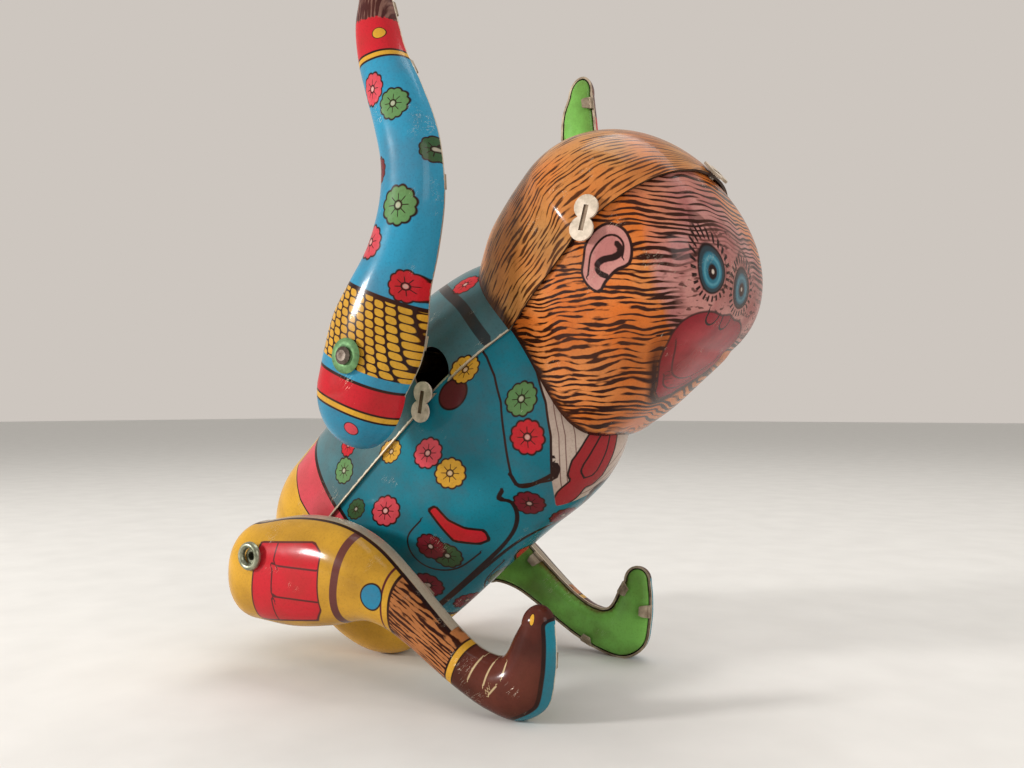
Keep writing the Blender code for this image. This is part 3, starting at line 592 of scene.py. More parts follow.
def limb_section(limb, place, inset=0.0):
    """Middle, half vector across and share of depth at a place: caps run from -1 to 0 and past the last."""
    last = len(limb["rungs"]) - 1
    a, b, share = limb_edges(limb, min(max(place, 0), last))
    middle, half = (a + b) / 2, (b - a) / 2
    half = half * (1 - inset / half.length)
    over = -place if place < 0 else place - last
    if over <= 0:
        return middle, half, share
    tip = Vector(limb["start"] if place < 0 else limb["end"])
    tip += (middle - tip).normalized() * inset
    over = min(over, 1.0) * pi / 2
    return middle + (tip - middle) * sin(over), half * cos(over), share * cos(over)


def limb_places(limb):
    last = len(limb["rungs"]) - 1
    caps = [i / CAP_ROWS for i in range(1, CAP_ROWS + 1)]
    inner = [i / LIMB_STEPS for i in range(last * LIMB_STEPS + 1)]
    return [-cap for cap in reversed(caps)] + inner + [last + cap for cap in caps]


def limb_point(limb, place, turn, depth, inset=0.0):
    """A point on a limb's half: turn goes from 0 at edge A to a half circle at edge B."""
    middle, half, share = limb_section(limb, place, inset)
    c, s = cos(turn), sin(turn)
    flat = -half * (abs(c) ** (2 / LIMB_POWER)) * (1 if c >= 0 else -1)
    return middle + flat, depth * share * abs(s) ** (2 / LIMB_POWER)


def limb_world(limb, flat, height):
    """Limb plane and height above its seam to the world. Height is positive away from the body."""
    reach, across = flat
    turned = limb["forward"] * reach + limb["upward"] * across
    return limb["pivot"] + turned + SIDE * limb["hand"] * (limb["seam"] + height)


def limb_rows(limb, depth, inset=0.0, rise=0.0):
    rows = []
    places = limb_places(limb)
    for place in places:
        if place in (places[0], places[-1]):
            rows.append([limb_world(limb, limb_section(limb, place, inset)[0], rise)])
            continue
        row = []
        for i in range(LIMB_COLUMNS + 1):
            flat, height = limb_point(limb, place, pi * i / LIMB_COLUMNS, depth, inset)
            row.append(limb_world(limb, flat, height + rise))
        rows.append(row)
    return rows


def plate_height(limb, along_edge, depth_in):
    """How far the back plate bulges toward the body, some way in from its edge."""
    middle, half, share = limb_section(limb, along_edge)
    inside = max(0.0, min(1.0, 1 - (depth_in - PLATE_INSET) / max(half.length - PLATE_INSET, 0.1)))
    return limb["dish"] * share * max(0.0, 1 - inside ** LIMB_POWER) ** (1 / LIMB_POWER)


def claw(limb, place, edge):
    """A small tongue of the outer shell, folded in over the back plate."""
    low, high = (Vector(limb["rungs"][int(place) + i][edge]) for i in (0, 1))
    tangent = (high - low).normalized()
    root = low.lerp(high, place - int(place))
    middle = limb_section(limb, place)[0]
    inward = Vector((-tangent.y, tangent.x))
    if inward.dot(middle - root) < 0:
        inward = -inward
    wall = TIN / 2
    clear = GAP + TIN
    under = [(depth_in, -plate_height(limb, place, depth_in) - clear)
             for depth_in in (CLAW_REACH * share for share in CLAW_SHARES)]
    path = [(0.9 * wall, wall), (wall, under[0][1]), *under]
    rows = []
    for i, (deep, high) in enumerate(path):
        low_i, high_i = max(i - 1, 0), min(i + 1, len(path) - 1)
        run = Vector(path[high_i]) - Vector(path[low_i])
        across = Vector((run.y, -run.x)).normalized() * CLAW_HALF_SHEET
        narrow = 1 - CLAW_NARROWING * (i / (len(path) - 1)) ** 3
        row = []
        for lift, slide in ((-1, -1), (1, -1), (1, 1), (-1, 1)):
            d, h = deep + across.x * lift, high + across.y * lift
            flat = root + inward * d + tangent * slide * narrow * CLAW_WIDTH / 2
            row.append(limb_world(limb, flat, h))
        rows.append(row)
    return built("claw", tube(rows), EDGE)


def limb_shells(limb, bore, body, looks):
    """The printed outer shell with its claws, and the dished back plate that they hold."""
    name, hand = limb["name"], limb["hand"]
    away = SIDE * hand
    outer = built(name + "_print", sheet(limb_rows(limb, limb["depth"]), away))
    plate_rows = limb_rows(limb, -limb["dish"], PLATE_INSET, PLATE_RISE)
    plate = built(name + "_plate", sheet(plate_rows, -away))
    for shell, look in ((outer, name[:3]), (plate, "green_plate")):
        for key in (look, "inside", "edge"):
            shell.data.materials.append(looks[key])
        thicken(shell)
    helpers = []
    for place, edge in limb["claws"]:
        helpers.append(claw(limb, place, edge))
        combine(outer, helpers[-1], "UNION")
    low, high = limb["face"] - 2 * TIN, limb["seam"] + limb["depth"] + 2 * TIN
    hole = side_cylinder(name + "_hole", limb["pivot"], bore, *sorted((hand * low, hand * high)))
    combine(outer, hole, "DIFFERENCE")
    combine(plate, hole, "DIFFERENCE")
    settle(outer)
    settle(plate, helpers + [hole])
    for shell, node, key in ((outer, "_outer_shell", "litho_" + name[:3]),
                             (plate, "_back_plate", "inner_green")):
        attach(shell, body)
        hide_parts(name + node)
    return outer, plate


ARM = {"start": ARM_START, "rungs": ARM_RUNGS, "end": ARM_END, "claws": ARM_CLAWS,
       "depth": ARM_DEPTH, "dish": ARM_DISH, "face": ARM_FACE, "seam": ARM_SEAM, "pivot": SHOULDER}
LEG = {"start": LEG_START, "rungs": LEG_RUNGS, "end": LEG_END, "claws": LEG_CLAWS,
       "depth": LEG_DEPTH, "dish": LEG_DISH, "face": LEG_FACE, "seam": LEG_SEAM, "pivot": HIP}


def limb(kind, name, hand, turn, upside):
    """A limb whose reach runs at an angle from +X toward +Z. An upside of -1 turns its across over."""
    rows = [(i, *rung[0], *rung[1], rung[2]) for i, rung in enumerate(kind["rungs"])]
    forward = Vector((cos(turn), 0, sin(turn)))
    return {**kind, "name": name, "hand": hand, "rows": rows,
            "forward": forward, "upward": forward.cross(SIDE) * upside}


def leg_rest_turn():
    """The turn of both legs at which their heels stand on the floor."""
    outline = [Vector(rung[1]) for rung in LEG_RUNGS]
    spans = [outline[i] + (outline[i + 1] - outline[i]) * k / 6
             for i in range(len(outline) - 1) for k in range(7)]
    low, high = radians(-25), radians(25)
    for _ in range(HALVINGS):
        turn = (low + high) / 2
        sole = min(HIP.z + point.x * sin(turn) + point.y * cos(turn) for point in spans)
        if sole > 0:
            high = turn
        else:
            low = turn
    return turn


def limbs(looks):
    """Both arms and both legs, each with its printed shell and its back plate."""
    made = []
    for side, hand, lean in (("right", -1, 0.0), ("left", 1, LEFT_ARM_LEAN)):
        arm = limb(ARM, "arm_" + side, hand, pi / 2 - lean, -1)
        made.append((arm, *limb_shells(arm, SHOULDER_AXLE / 2 + GAP, arm["name"], looks)))
    for side, hand in (("right", -1), ("left", 1)):
        leg = limb(LEG, "leg_" + side, hand, leg_rest_turn(), 1)
        made.append((leg, *limb_shells(leg, HIP_TUBE / 2 + GAP, "legs", looks)))
    return made


def seen(*levels):
    """A colour as a screen shows it, 0 to 255, in the linear values that a shader takes."""
    return tuple(((level / 255 + 0.055) / 1.055) ** 2.4 for level in levels)


def dim(color, share):
    return tuple(share * part for part in color)


# Inks and metals
INK = seen(38, 20, 18)
JACKET = seen(26, 122, 140)
JACKET_DULL = seen(78, 118, 124)
SLEEVE = seen(48, 138, 170)
WHITE = seen(205, 190, 175)
SHIRT_WHITE = seen(188, 168, 154)
CRAVAT_RED = seen(150, 36, 40)
RED = seen(188, 34, 44)
ROSE = seen(200, 70, 80)
MAROON = seen(84, 34, 36)
YELLOW = seen(206, 154, 50)
GREEN = seen(94, 134, 82)
DULL_GREEN = seen(52, 84, 52)
DULL_RED = seen(110, 28, 40)
BUTTON_BLUE = seen(40, 120, 150)
FUR = seen(200, 104, 40)
FUR_PALE = seen(204, 124, 66)
HAIR = seen(184, 128, 72)
# Dark brown of the fur strokes, also used for the painted shadow beside the muzzle
FUR_DARK_AND_SHADOW = seen(46, 18, 10)
SKIN = seen(186, 128, 120)
SKIN_SHADE = seen(162, 96, 92)
MUZZLE = seen(132, 30, 38)
MUZZLE_LIGHT = seen(170, 56, 62)
IRIS = seen(48, 108, 126)
SHOE = seen(68, 32, 25)
PALE_LINE = seen(196, 172, 130)
PLATE_GREEN = seen(122, 182, 84)
TIN_BRIGHT = seen(226, 210, 186)
TIN_DULL = seen(164, 150, 130)
RUST = seen(92, 52, 30)
BRASS = seen(190, 156, 88)
# Past this distance a thin line isn't drawn, since the sign of its distance says nothing there
LINE_REACH = 0.85


class Field:
    """A number that varies over a surface. Sums, products and masks of it are fields too."""

    def __init__(self, paint, socket):
        self.paint = paint
        self.socket = socket

    def math(self, operation, *others):
        return self.paint.math(operation, self, *others)

    def __add__(self, other):
        return self.math("ADD", other)

    def __mul__(self, other):
        return self.math("MULTIPLY", other)

    def __sub__(self, other):
        return self.math("SUBTRACT", other)

    def __rsub__(self, other):
        return self.paint.math("SUBTRACT", other, self)

    def __pow__(self, power):
        return self.math("POWER", power)

    def __abs__(self):
        return self.math("ABSOLUTE")

    __radd__ = __add__

    def sine(self):
        return self.math("SINE")

    def root(self):
        return self.math("SQRT")

    def fraction(self):
        return self.math("FRACT")

    def floor(self):
        return self.math("FLOOR")

    def or_more(self, other):
        return self.math("MAXIMUM", other)

    def turn_over(self, other):
        """The angle round from the other field's direction toward this one's."""
        return self.math("ARCTAN2", other)

    def below(self, edge, soft=0.07):
        """1 where the field lies under an edge, 0 above it."""
        inputs = {0: self, 1: edge + soft, 2: edge - soft, 3: 0.0, 4: 1.0}
        return Field(self.paint, self.paint.node("ShaderNodeMapRange", inputs).outputs[0])

    def above(self, edge, soft=0.07):
        return (self * -1.0).below(-edge, soft)

    def near(self, centre, half, soft=0.06):
        """1 on a line of the field, to a half width on both sides."""
        return abs(self - centre).below(half, soft)


class Paint:
    """A finish, built up by laying one colour over another through masks."""

    def __init__(self, name, base):
        self.look = bpy.data.materials.new(name)
        self.look.use_nodes = True
        self.tree = self.look.node_tree
        self.shader = self.tree.nodes["Principled BSDF"]
        self.color = (*base, 1)
        self.made = {}

    def node(self, kind, inputs, **settings):
        made = self.tree.nodes.new(kind)
        for key, value in settings.items():
            setattr(made, key, value)
        for place, value in inputs.items():
            self.feed(made.inputs[place], value)
        return made

    def feed(self, socket, value):
        """Connect a field or a socket, or set a constant."""
        if isinstance(value, Field):
            value = value.socket
        if isinstance(value, bpy.types.NodeSocket):
            self.tree.links.new(value, socket)
        else:
            socket.default_value = value

    def math(self, operation, *values):
        inputs = dict(enumerate(values))
        return Field(self, self.node("ShaderNodeMath", inputs, operation=operation).outputs[0])

    def read(self, name, output="Fac"):
        """A value that the mesh carries, as a number, a vector or a colour."""
        if (name, output) not in self.made:
            node = self.node("ShaderNodeAttribute", {}, attribute_name=name)
            self.made[name, output] = Field(self, node.outputs[output])
        return self.made[name, output]

    def split(self, vector):
        return [Field(self, part) for part in self.node("ShaderNodeSeparateXYZ", {0: vector}).outputs]

    def parts(self, name):
        """The three numbers of a vector that the mesh carries."""
        return self.split(self.read(name, "Vector"))

    def join(self, x, y, z=0.0):
        return self.node("ShaderNodeCombineXYZ", {0: x, 1: y, 2: z}).outputs[0]

    def line(self, name, half):
        """A thin line that the mesh carries as a distance with a side and a distance without."""
        signed, plain, _ = self.parts(name)
        return signed.near(0, half) * plain.below(LINE_REACH, 0.1)

    def noise(self, vector, scale, detail=2.0, rough=0.5):
        inputs = {"Vector": vector, "Scale": scale, "Detail": detail, "Roughness": rough}
        return Field(self, self.node("ShaderNodeTexNoise", inputs).outputs[0])

    def lay(self, color, mask):
        """Put a colour over the one so far, where the mask is 1."""
        made = self.node("ShaderNodeMix", {}, data_type="RGBA")
        color = (*color, 1) if isinstance(color, tuple) else color
        sockets = {item.identifier: item for item in (*made.inputs, *made.outputs)}
        self.feed(sockets["Factor_Float"], mask)
        self.feed(sockets["A_Color"], self.color)
        self.feed(sockets["B_Color"], color)
        self.color = sockets["Result_Color"]

    def finish(self, rough, metallic, bump, coat=0.0, depth=0.05):
        """Connect the colour and the given fields. The coat is the same all over."""
        self.feed(self.shader.inputs["Base Color"], self.color)
        self.feed(self.shader.inputs["Roughness"], rough)
        self.feed(self.shader.inputs["Metallic"], metallic)
        self.shader.inputs["Coat Weight"].default_value = coat
        self.shader.inputs["Coat Roughness"].default_value = 0.1
        self.shader.inputs["IOR"].default_value = 1.25
        self.shader.inputs["Specular IOR Level"].default_value = 0.2
        inputs = {"Height": bump, "Strength": 0.35, "Distance": depth * MM}
        self.feed(self.shader.inputs["Normal"], self.node("ShaderNodeBump", inputs).outputs[0])
        return self.look


def lacquered(paint, rim=None):
    """The finish of printed tin: halftone grain, scratches and chips down to the sheet, gloss on top."""
    place = paint.read("place", "Vector")
    grain = paint.noise(place, 2.2, 3.0, 0.7)
    paint.lay(INK, grain.above(0.62, 0.12) * 0.22)
    stain = paint.noise(place, 0.09, 4.0, 0.6)
    paint.lay(RUST, stain.above(0.56, 0.12) * 0.28)
    x, y, z = paint.split(place)
    along = paint.join((x + z) * 0.1, y, (x - z) * 1.5)
    scratched = paint.noise(place, 0.13).above(0.66, 0.03)
    scratch = paint.noise(along, 0.8, 3.0, 0.6).near(0.5, 0.0035, 0.003) * scratched
    chips = paint.noise(place, 0.75, 5.0, 0.75).above(0.735, 0.012)
    worn = scratch.or_more(chips)
    if rim is not None:
        ragged = rim + paint.noise(place, 1.1, 4.0, 0.7) * -0.65
        worn = worn.or_more(ragged.below(0.0, 0.08))
    paint.lay(TIN_BRIGHT, worn * 0.85)
    wave = paint.noise(place, 0.16, 2.0)
    height = wave + (grain * 0.04 + worn * -0.25)
    rough = 0.17 + (stain * 0.16 + worn * 0.15)
    return paint.finish(rough, worn * 0.8, height, coat=0.17, depth=0.25)


def metal(name, color, dark, rough=0.3, shine=1.0, scale=0.5, head=None):
    """Bare or thinly lacquered metal with stains, fine brushing and rust in spots."""
    paint = Paint(name, color)
    inputs = {0: paint.node("ShaderNodeTexCoord", {}).outputs["Object"], 1: (1 / MM, 1 / MM, 1 / MM)}
    place = paint.node("ShaderNodeVectorMath", inputs, operation="MULTIPLY").outputs[0]
    stain = paint.noise(place, scale, 4.0, 0.65)
    paint.lay(dark, stain.above(0.5, 0.16))
    if head:
        paint.lay(head, paint.read("above_crease").above(1.0, 0.8) * 0.85)
    spots = paint.noise(place, 1.3 * scale, 5.0, 0.8).above(0.66, 0.03)
    paint.lay(RUST, spots * 0.6)
    x, y, z = paint.split(place)
    brush = paint.noise(paint.join(x * 0.2, y * 4.0, z * 4.0), 1.2, 3.0)
    bump = brush * 0.3 + stain
    shine_field = shine - spots * (0.6 * shine)
    return paint.finish(rough + stain * 0.25, shine_field, bump, depth=0.03)


# The prints stand a little toward the right side, as on the toy: the jacket's by these degrees at
# the front, and the face, the muzzle and the nose by these distances.
JACKET_MIDDLE = 12.5
FACE_MIDDLE = 10.5
MUZZLE_MIDDLE = 5.5
NOSE_MIDDLE = 9.0
# Distances over the cheek of the left side count as this share of themselves
FAR_CHEEK = 0.62
# The length of a degree on the jacket
DEGREE = 0.4
# The jacket, as (degrees round from the front toward a side, distance along the body)
LAPEL = ((93, 81.6), (82.5, 81.5), (71.75, 80.5), (60, 78.25), (48.5, 74.25), (36, 69.5), (31.25, 68.2),
         (22.75, 73.75), (34.25, 80.5), (44.25, 84.25), (56.5, 86.75), (75.25, 89), (93, 89))
SHIRT = ((80, 89.2), (75.25, 89), (56.5, 86.75), (44.25, 84.25), (34.25, 80.5), (22.75, 73.75), (12.5, 69),
         (-20, 69), (-20, 100), (80, 100))
CRAVAT = ((-5, 90), (19, 89), (21, 84), (21.5, 79), (19, 76.2), (16.5, 76), (17.5, 72.5), (15.5, 69.2),
          (-5, 68))
WEDGE = ((34, 80.2), (29, 78.2), (23.25, 76.8), (21.5, 75), (22.5, 73.6), (28.5, 77.3))
NOTCH = ((35.5, 69.25), (31.25, 68.5), (28.75, 69), (26.75, 71), (24.25, 74.5))
OPENING = ((33, 65.25), (31.25, 63.25), (27.25, 64.5), (20.75, 62.5), (15.5, 57.75), (13.5, 50),
           (12.6, 30))
FLAP = ((46.75, 49.75), (37.25, 49), (29.5, 48.5), (21.75, 51.75), (20.25, 54), (25, 55.25), (30.75, 52.75),
        (37.75, 51.5), (46, 51.75))
POCKET = ((45.25, 46.75), (43.25, 41.25), (35.5, 38.75), (26.5, 39.5), (19.75, 43.5), (18.5, 50))
HEM_ALONG = 30.4
SEAT_PATCH = ((60, 31), (100, 31), (118, 30.75), (150, 31), (150, 21.5), (118, 21), (88, 22.5), (60, 23))
COLLAR = ((154, 78.5), (135, 81), (117, 83), (96, 83.5), (88, 83.6))

# Face, as (distance from the print's middle, distance along the body)
SKIN_EDGE = ((-8, 131.5), (4.9, 130.5), (10, 128.3), (14.2, 125.6), (18.8, 122.3), (21.4, 118.8),
             (20, 115.9), (16.2, 115), (11.5, 113), (-8, 110))
MUZZLE_EDGE = ((-8, 118.9), (3.4, 118.9), (7.7, 118.7), (11.1, 117.2), (12.8, 114.5), (12.2, 111),
               (10.2, 106.7), (5.2, 102), (2, 99.8), (-8, 98.6))
NOSTRIL = ((0.9, 118.6), (1.6, 117.0), (3.2, 116.5), (4.6, 117.1), (4.9, 118.6))
MOUTH = ((-6, 104.5), (3, 105), (7, 107.2), (10.5, 111))
MOUTH_LOW = ((-6, 101.8), (2.5, 102.2), (6, 104.4))
BROW = ((1.6, 122.5), (2.4, 126.2), (5.5, 128.3), (9.5, 127.6), (12, 125.2))
# The eye's place, half width and half height, and how much it leans
EYE = (6.9, 123.7, 4.5, 2.75)
EYE_LEAN = -0.1
# Ear, in degrees from the front and distance along
EAR = ((78, 109.5), (81.75, 112.25), (83, 115), (81, 117.5), (75, 118.6), (68.75, 117.75), (65, 115.6),
       (66.5, 113.2), (66.2, 110.25), (65.2, 108), (70.2, 107.2), (75, 107.8))
EAR_FOLD = ((72.75, 108.5), (76.75, 111), (78.5, 113.5), (78.2, 115.7), (75.5, 117), (71.5, 117),
            (68.6, 115.6))
EAR_CANAL = ((73.2, 116.2), (70.2, 116), (70.2, 114.5), (72.6, 112.6), (72.6, 111), (70, 110.5),
             (67.4, 111.2))

# Flowers and discs: place, half width, half height, ink, kind, and the layer, of which 0 lies on top
FLOWER = 1
DISC = 2
JACKET_MOTIF_SIZE = 1.22
JACKET_MOTIFS = (
    (85.25, 76.75, 2.6, 2.7, YELLOW, FLOWER, 0), (80.25, 71.6, 3.1, 3.2, MAROON, DISC, 1),
    (54, 81.5, 2.7, 2.8, GREEN, FLOWER, 0), (41.25, 77.3, 2.7, 2.8, RED, FLOWER, 1),
    (67.5, 58.75, 2.9, 3.2, ROSE, FLOWER, 1), (52.75, 59.75, 2.7, 3.1, YELLOW, FLOWER, 0),
    (60.75, 41, 3.2, 3.4, ROSE, FLOWER, 0), (83.75, 51.5, 2.4, 2.6, YELLOW, FLOWER, 0),
    (33.75, 43.6, 2.3, 2.4, DULL_RED, FLOWER, 0), (26.5, 44.6, 2.2, 2.4, DULL_GREEN, FLOWER, 1),
    (21.75, 66.6, 2.3, 2.3, DULL_RED, FLOWER, 0), (22, 35.5, 2.2, 2.3, DULL_RED, FLOWER, 0),
    (27.5, 51.3, 0.8, 0.8, WHITE, DISC, 0), (75, 34.5, 2.4, 2.5, DULL_GREEN, FLOWER, 0),
    (134.25, 84.9, 2.3, 2.4, RED, FLOWER, 0), (100, 38, 2.6, 2.7, GREEN, FLOWER, 0),
    (110, 42.5, 2.2, 2.3, RED, FLOWER, 1), (150, 62, 2.7, 2.8, RED, FLOWER, 0),
    (141, 58.5, 2.6, 2.7, YELLOW, FLOWER, 1), (118, 56, 2.6, 2.7, GREEN, FLOWER, 0),
    (165, 44, 2.6, 2.7, YELLOW, FLOWER, 0), (135, 44, 2.6, 2.7, DULL_RED, FLOWER, 0),
    (168, 72, 2.4, 2.5, GREEN, FLOWER, 0),
)
# Limbs, as (reach, across)
ARM_MOTIFS = (
    (12.4, 10.9, 3.0, 2.5, RED, FLOWER, 0), (21.0, 3.6, 3.3, 3.1, ROSE, FLOWER, 1),
    (27.1, 10.0, 3.8, 3.5, GREEN, FLOWER, 0), (37.7, 14.9, 2.6, 1.7, DULL_GREEN, FLOWER, 0),
    (46.3, 8.0, 3.1, 2.9, GREEN, FLOWER, 0), (49.9, 3.0, 3.2, 2.6, ROSE, FLOWER, 1),
    (34.5, 4.2, 2.6, 2.2, DULL_RED, FLOWER, 1), (60.9, 3.4, 1.2, 1.3, YELLOW, DISC, 0),
    (-13.4, -1.0, 1.3, 1.5, ROSE, DISC, 0),
)
LEG_MOTIFS = ((31.05, -6.2, 2.5, 2.8, BUTTON_BLUE, DISC, 0), (63.7, -8.4, 0.5, 1.1, YELLOW, DISC, 0))
LEG_POCKET = ((1.4, 2.8), (16.3, 3.5), (18.7, 1.5), (17.8, -10.0), (15.3, -12.6), (-1.2, -14.0))
POCKET_FLAP = ((6.6, 3.2), (4.7, -13.4))
POCKET_LINES = (((6.0, -1.6), (18.4, -1.9)), ((5.2, -8.0), (18.0, -8.3)))
LACES = (((52.7, -16.5), (51.4, -19.6)), ((55.4, -17.0), (54.6, -20.4)), ((58.6, -16.6), (58.2, -18.6)),
         ((57.0, -20.6), (55.8, -21.9)))
# The sole runs along edge B from this rung on, and is this high
TOE_RUNG = 10
SOLE_EDGE = 0.9


def smooth_line(points, closed, steps=6):
    """A curve that runs through all the points."""
    points = np.array(points, float)
    count = len(points)
    made = []
    for i in range(count if closed else count - 1):
        pick = [(i + k) % count if closed else min(max(i + k, 0), count - 1) for k in (-1, 0, 1, 2)]
        a, b, c, d = points[pick]
        for t in np.arange(steps) / steps:
            made.append(b + 0.5 * t * (c - a + t * (2 * a - 5 * b + 4 * c - d + t * (3 * (b - c) + d - a))))
    if not closed:
        made.append(points[-1])
    return np.array(made)


def line_field(where, points, smooth=True):
    """Distance of each place from an open line."""
    line = smooth_line(points, False) if smooth else np.array(points, float)
    return np.abs(side_field(where, [line]))


def side_field(where, lines):
    """Distance from the nearest of some lines, less than 0 on its right."""
    best = np.full(len(where), np.inf)
    for line in lines:
        for a, b in zip(line, line[1:]):
            run = b - a
            share = np.clip(((where - a) @ run) / max(run @ run, 1e-9), 0, 1)
            gap = where - a - share[:, None] * run
            distance = np.linalg.norm(gap, axis=1)
            left = run[0] * gap[:, 1] >= run[1] * gap[:, 0]
            best = np.where(distance < np.abs(best), np.where(left, distance, -distance), best)
    return best


def outline_field(where, points, smooth=True):
    """Distance from a closed outline, less than 0 inside it."""
    line = smooth_line(points, True, 4) if smooth else np.array(points, float)
    ring = np.vstack([line, line[:1]])
    distance = line_field(where, ring, smooth=False)
    inside = np.zeros(len(where), bool)
    for (x0, y0), (x1, y1) in zip(ring, ring[1:]):
        crosses = (y0 > where[:, 1]) != (y1 > where[:, 1])
        if crosses.any():
            inside ^= crosses & (where[:, 0] < x0 + (where[:, 1] - y0) / (y1 - y0) * (x1 - x0))
    return np.where(inside, -distance, distance)


# How a mesh stores so many numbers to a place
LAYERS = {1: ("FLOAT", "value"), 3: ("FLOAT_VECTOR", "vector"), 4: ("FLOAT_COLOR", "color")}


def carry(mesh, name, values, domain="POINT"):
    """Store a number, a vector or a colour for each point or face corner of a mesh."""
    kind, field = LAYERS[values.shape[1] if values.ndim == 2 else 1]
    layer = mesh.attributes.new(name, kind, domain)
    layer.data.foreach_set(field, values.astype(np.float32).ravel())


def carry_lines(mesh, name, where, lines, smooth=True):
    """Store the signed and the plain distance from thin lines, for Paint.line to draw."""
    made = [smooth_line(line, False) if smooth else np.array(line, float) for line in lines]
    signed = side_field(where, made)
    carry(mesh, name, np.column_stack([signed, np.abs(signed), signed * 0]))


def points_of(mesh):
    places = np.empty(len(mesh.vertices) * 3)
    mesh.vertices.foreach_get("co", places)
    return places.reshape(-1, 3) / MM


# Faces more than this many sizes from every motif get a place that lies past a motif's edge
MOTIF_REACH = 2.2
FAR_OFF = 9.0


def stamp(mesh, name, where, motifs, lean=0.0):
    """Give each face the nearest motif's own coordinates, with its kind and its ink."""
    corners = np.empty(len(mesh.loops), int)
    mesh.loops.foreach_get("vertex_index", corners)
    starts, counts = (np.empty(len(mesh.polygons), int) for _ in range(2))
    mesh.polygons.foreach_get("loop_start", starts)
    mesh.polygons.foreach_get("loop_total", counts)
    middle = np.add.reduceat(where[corners], starts) / counts[:, None]
    centres = np.array([motif[:2] for motif in motifs], float)
    halves = np.array([motif[2:4] for motif in motifs], float)
    gaps = np.linalg.norm((middle[:, None] - centres) / halves, axis=2)
    nearest = gaps.argmin(axis=1)
    close = np.repeat(gaps.min(axis=1) < MOTIF_REACH, counts)
    pick = np.repeat(nearest, counts)
    away = where[corners] - centres[pick]
    away[:, 1] -= lean * away[:, 0]
    local = away / halves[pick]
    kinds = np.array([motif[5] for motif in motifs], float)[pick]
    values = np.column_stack([local, kinds])
    values[~close] = (FAR_OFF, FAR_OFF, 0)
    carry(mesh, name, values, "CORNER")
    carry(mesh, name + "_ink", np.array([(*motif[4], 1.0) for motif in motifs])[pick], "CORNER")


def stamp_layers(mesh, where, motifs):
    for name, layer in (("motif_top", 0), ("motif_under", 1)):
        chosen = [motif for motif in motifs if motif[6] == layer]
        if chosen:
            stamp(mesh, name, where, chosen)


def lay_motifs(paint, name):
    """Scalloped flowers with a dark star and a pale middle, and plain discs."""
    u, v, kind = paint.parts(name)
    reach = (u * u + v * v).root()
    turn = v.turn_over(u)
    is_flower = kind.below(1.5, 0.1)
    scallop = abs((turn * 5.5).sine()) * is_flower
    edge = reach - scallop * 0.1
    paint.lay(paint.read(name + "_ink", "Color"), edge.below(0.9, 0.03))
    paint.lay(INK, edge.near(0.9, 0.06, 0.03))
    comb = abs((turn * 4.0).sine()) * reach
    ray = comb.below(0.1, 0.04) * reach.near(0.38, 0.2, 0.04)
    star = ray.or_more(reach.near(0.21, 0.05, 0.03)) * is_flower
    paint.lay(INK, star)
    paint.lay(WHITE, reach.below(0.14, 0.03) * (is_flower * 0.6))


def print_degrees(degrees_round):
    """Angle from the print's middle, for an angle from the front toward the right side."""
    share = np.clip(np.abs(degrees_round) / 90, 0, 1)
    return degrees_round - JACKET_MIDDLE * (1 - share ** 2)


def on_print(points):
    """Places in the jacket's print, with angles turned into lengths."""
    table = np.array(points, float)
    return np.column_stack([print_degrees(table[:, 0]) * DEGREE, table[:, 1]])


def decorate_body(shell, is_front):
    """Everything that the print of a body shell needs to know at its points."""
    mesh = shell.data
    away = points_of(mesh) - np.array(SEAT)
    front, side, along = away @ np.array(FRONT), away[:, 1], away @ np.array(AXIS)
    angle = np.degrees(np.arctan2(side, front))
    carry(mesh, "place", away)
    carry(mesh, "body", np.column_stack([angle, along, front]))
    where = np.column_stack([np.abs(print_degrees(-angle)) * DEGREE, along])
    carry(mesh, "above_crease", along - crease_at(angle))
    carry(mesh, "rim", np.abs(front if is_front else front - LIP))
    motifs = []
    for x, y, wide, high, *rest in JACKET_MOTIFS:
        (x, y), = on_print([(x, y)])
        motifs.append((x, y, JACKET_MOTIF_SIZE * wide, JACKET_MOTIF_SIZE * high, *rest))
    stamp_layers(mesh, where, motifs)
    if not is_front:
        carry(mesh, "patch", outline_field(where, on_print(SEAT_PATCH), smooth=False))
        carry(mesh, "collar", line_field(where, on_print(COLLAR)))
        return
    for name, outline in (("lapel", LAPEL), ("shirt", SHIRT), ("cravat", CRAVAT), ("wedge", WEDGE),
                          ("flap", FLAP), ("patch", SEAT_PATCH)):
        carry(mesh, name, outline_field(where, on_print(outline), smooth=False))
    for name, line in (("notch", NOTCH), ("opening", OPENING), ("pocket", POCKET)):
        carry_lines(mesh, name, where, [on_print(line)])
    share = np.clip(np.abs(side) / HEAD_HALF_WIDTH, 0, 1)
    aside = -side - FACE_MIDDLE * (1 - share ** 4)
    face = np.column_stack([np.abs(aside), along])
    cheeks = np.column_stack([np.where(aside < 0, -FAR_CHEEK * aside, aside), along])
    jaw = np.column_stack([np.abs(-side - MUZZLE_MIDDLE), along])
    nose = np.column_stack([np.abs(-side - NOSE_MIDDLE), along])
    carry(mesh, "skin", outline_field(cheeks, SKIN_EDGE))
    carry(mesh, "muzzle", outline_field(jaw, MUZZLE_EDGE))
    carry_lines(mesh, "nostril", nose, [NOSTRIL])
    carry_lines(mesh, "mouth", jaw, [MOUTH, MOUTH_LOW])
    carry_lines(mesh, "brow", face, [BROW])
    stamp(mesh, "eye", face, [(*EYE, IRIS, FLOWER, 0)], EYE_LEAN)
    ear = np.column_stack([np.abs(angle) * DEGREE, along])
    scale = np.array([DEGREE, 1.0])
    carry(mesh, "ear", outline_field(ear, np.array(EAR) * scale))
    carry_lines(mesh, "ear_fold", ear, [np.array(EAR_FOLD) * scale])
    carry(mesh, "ear_canal", line_field(ear, np.array(EAR_CANAL) * scale))


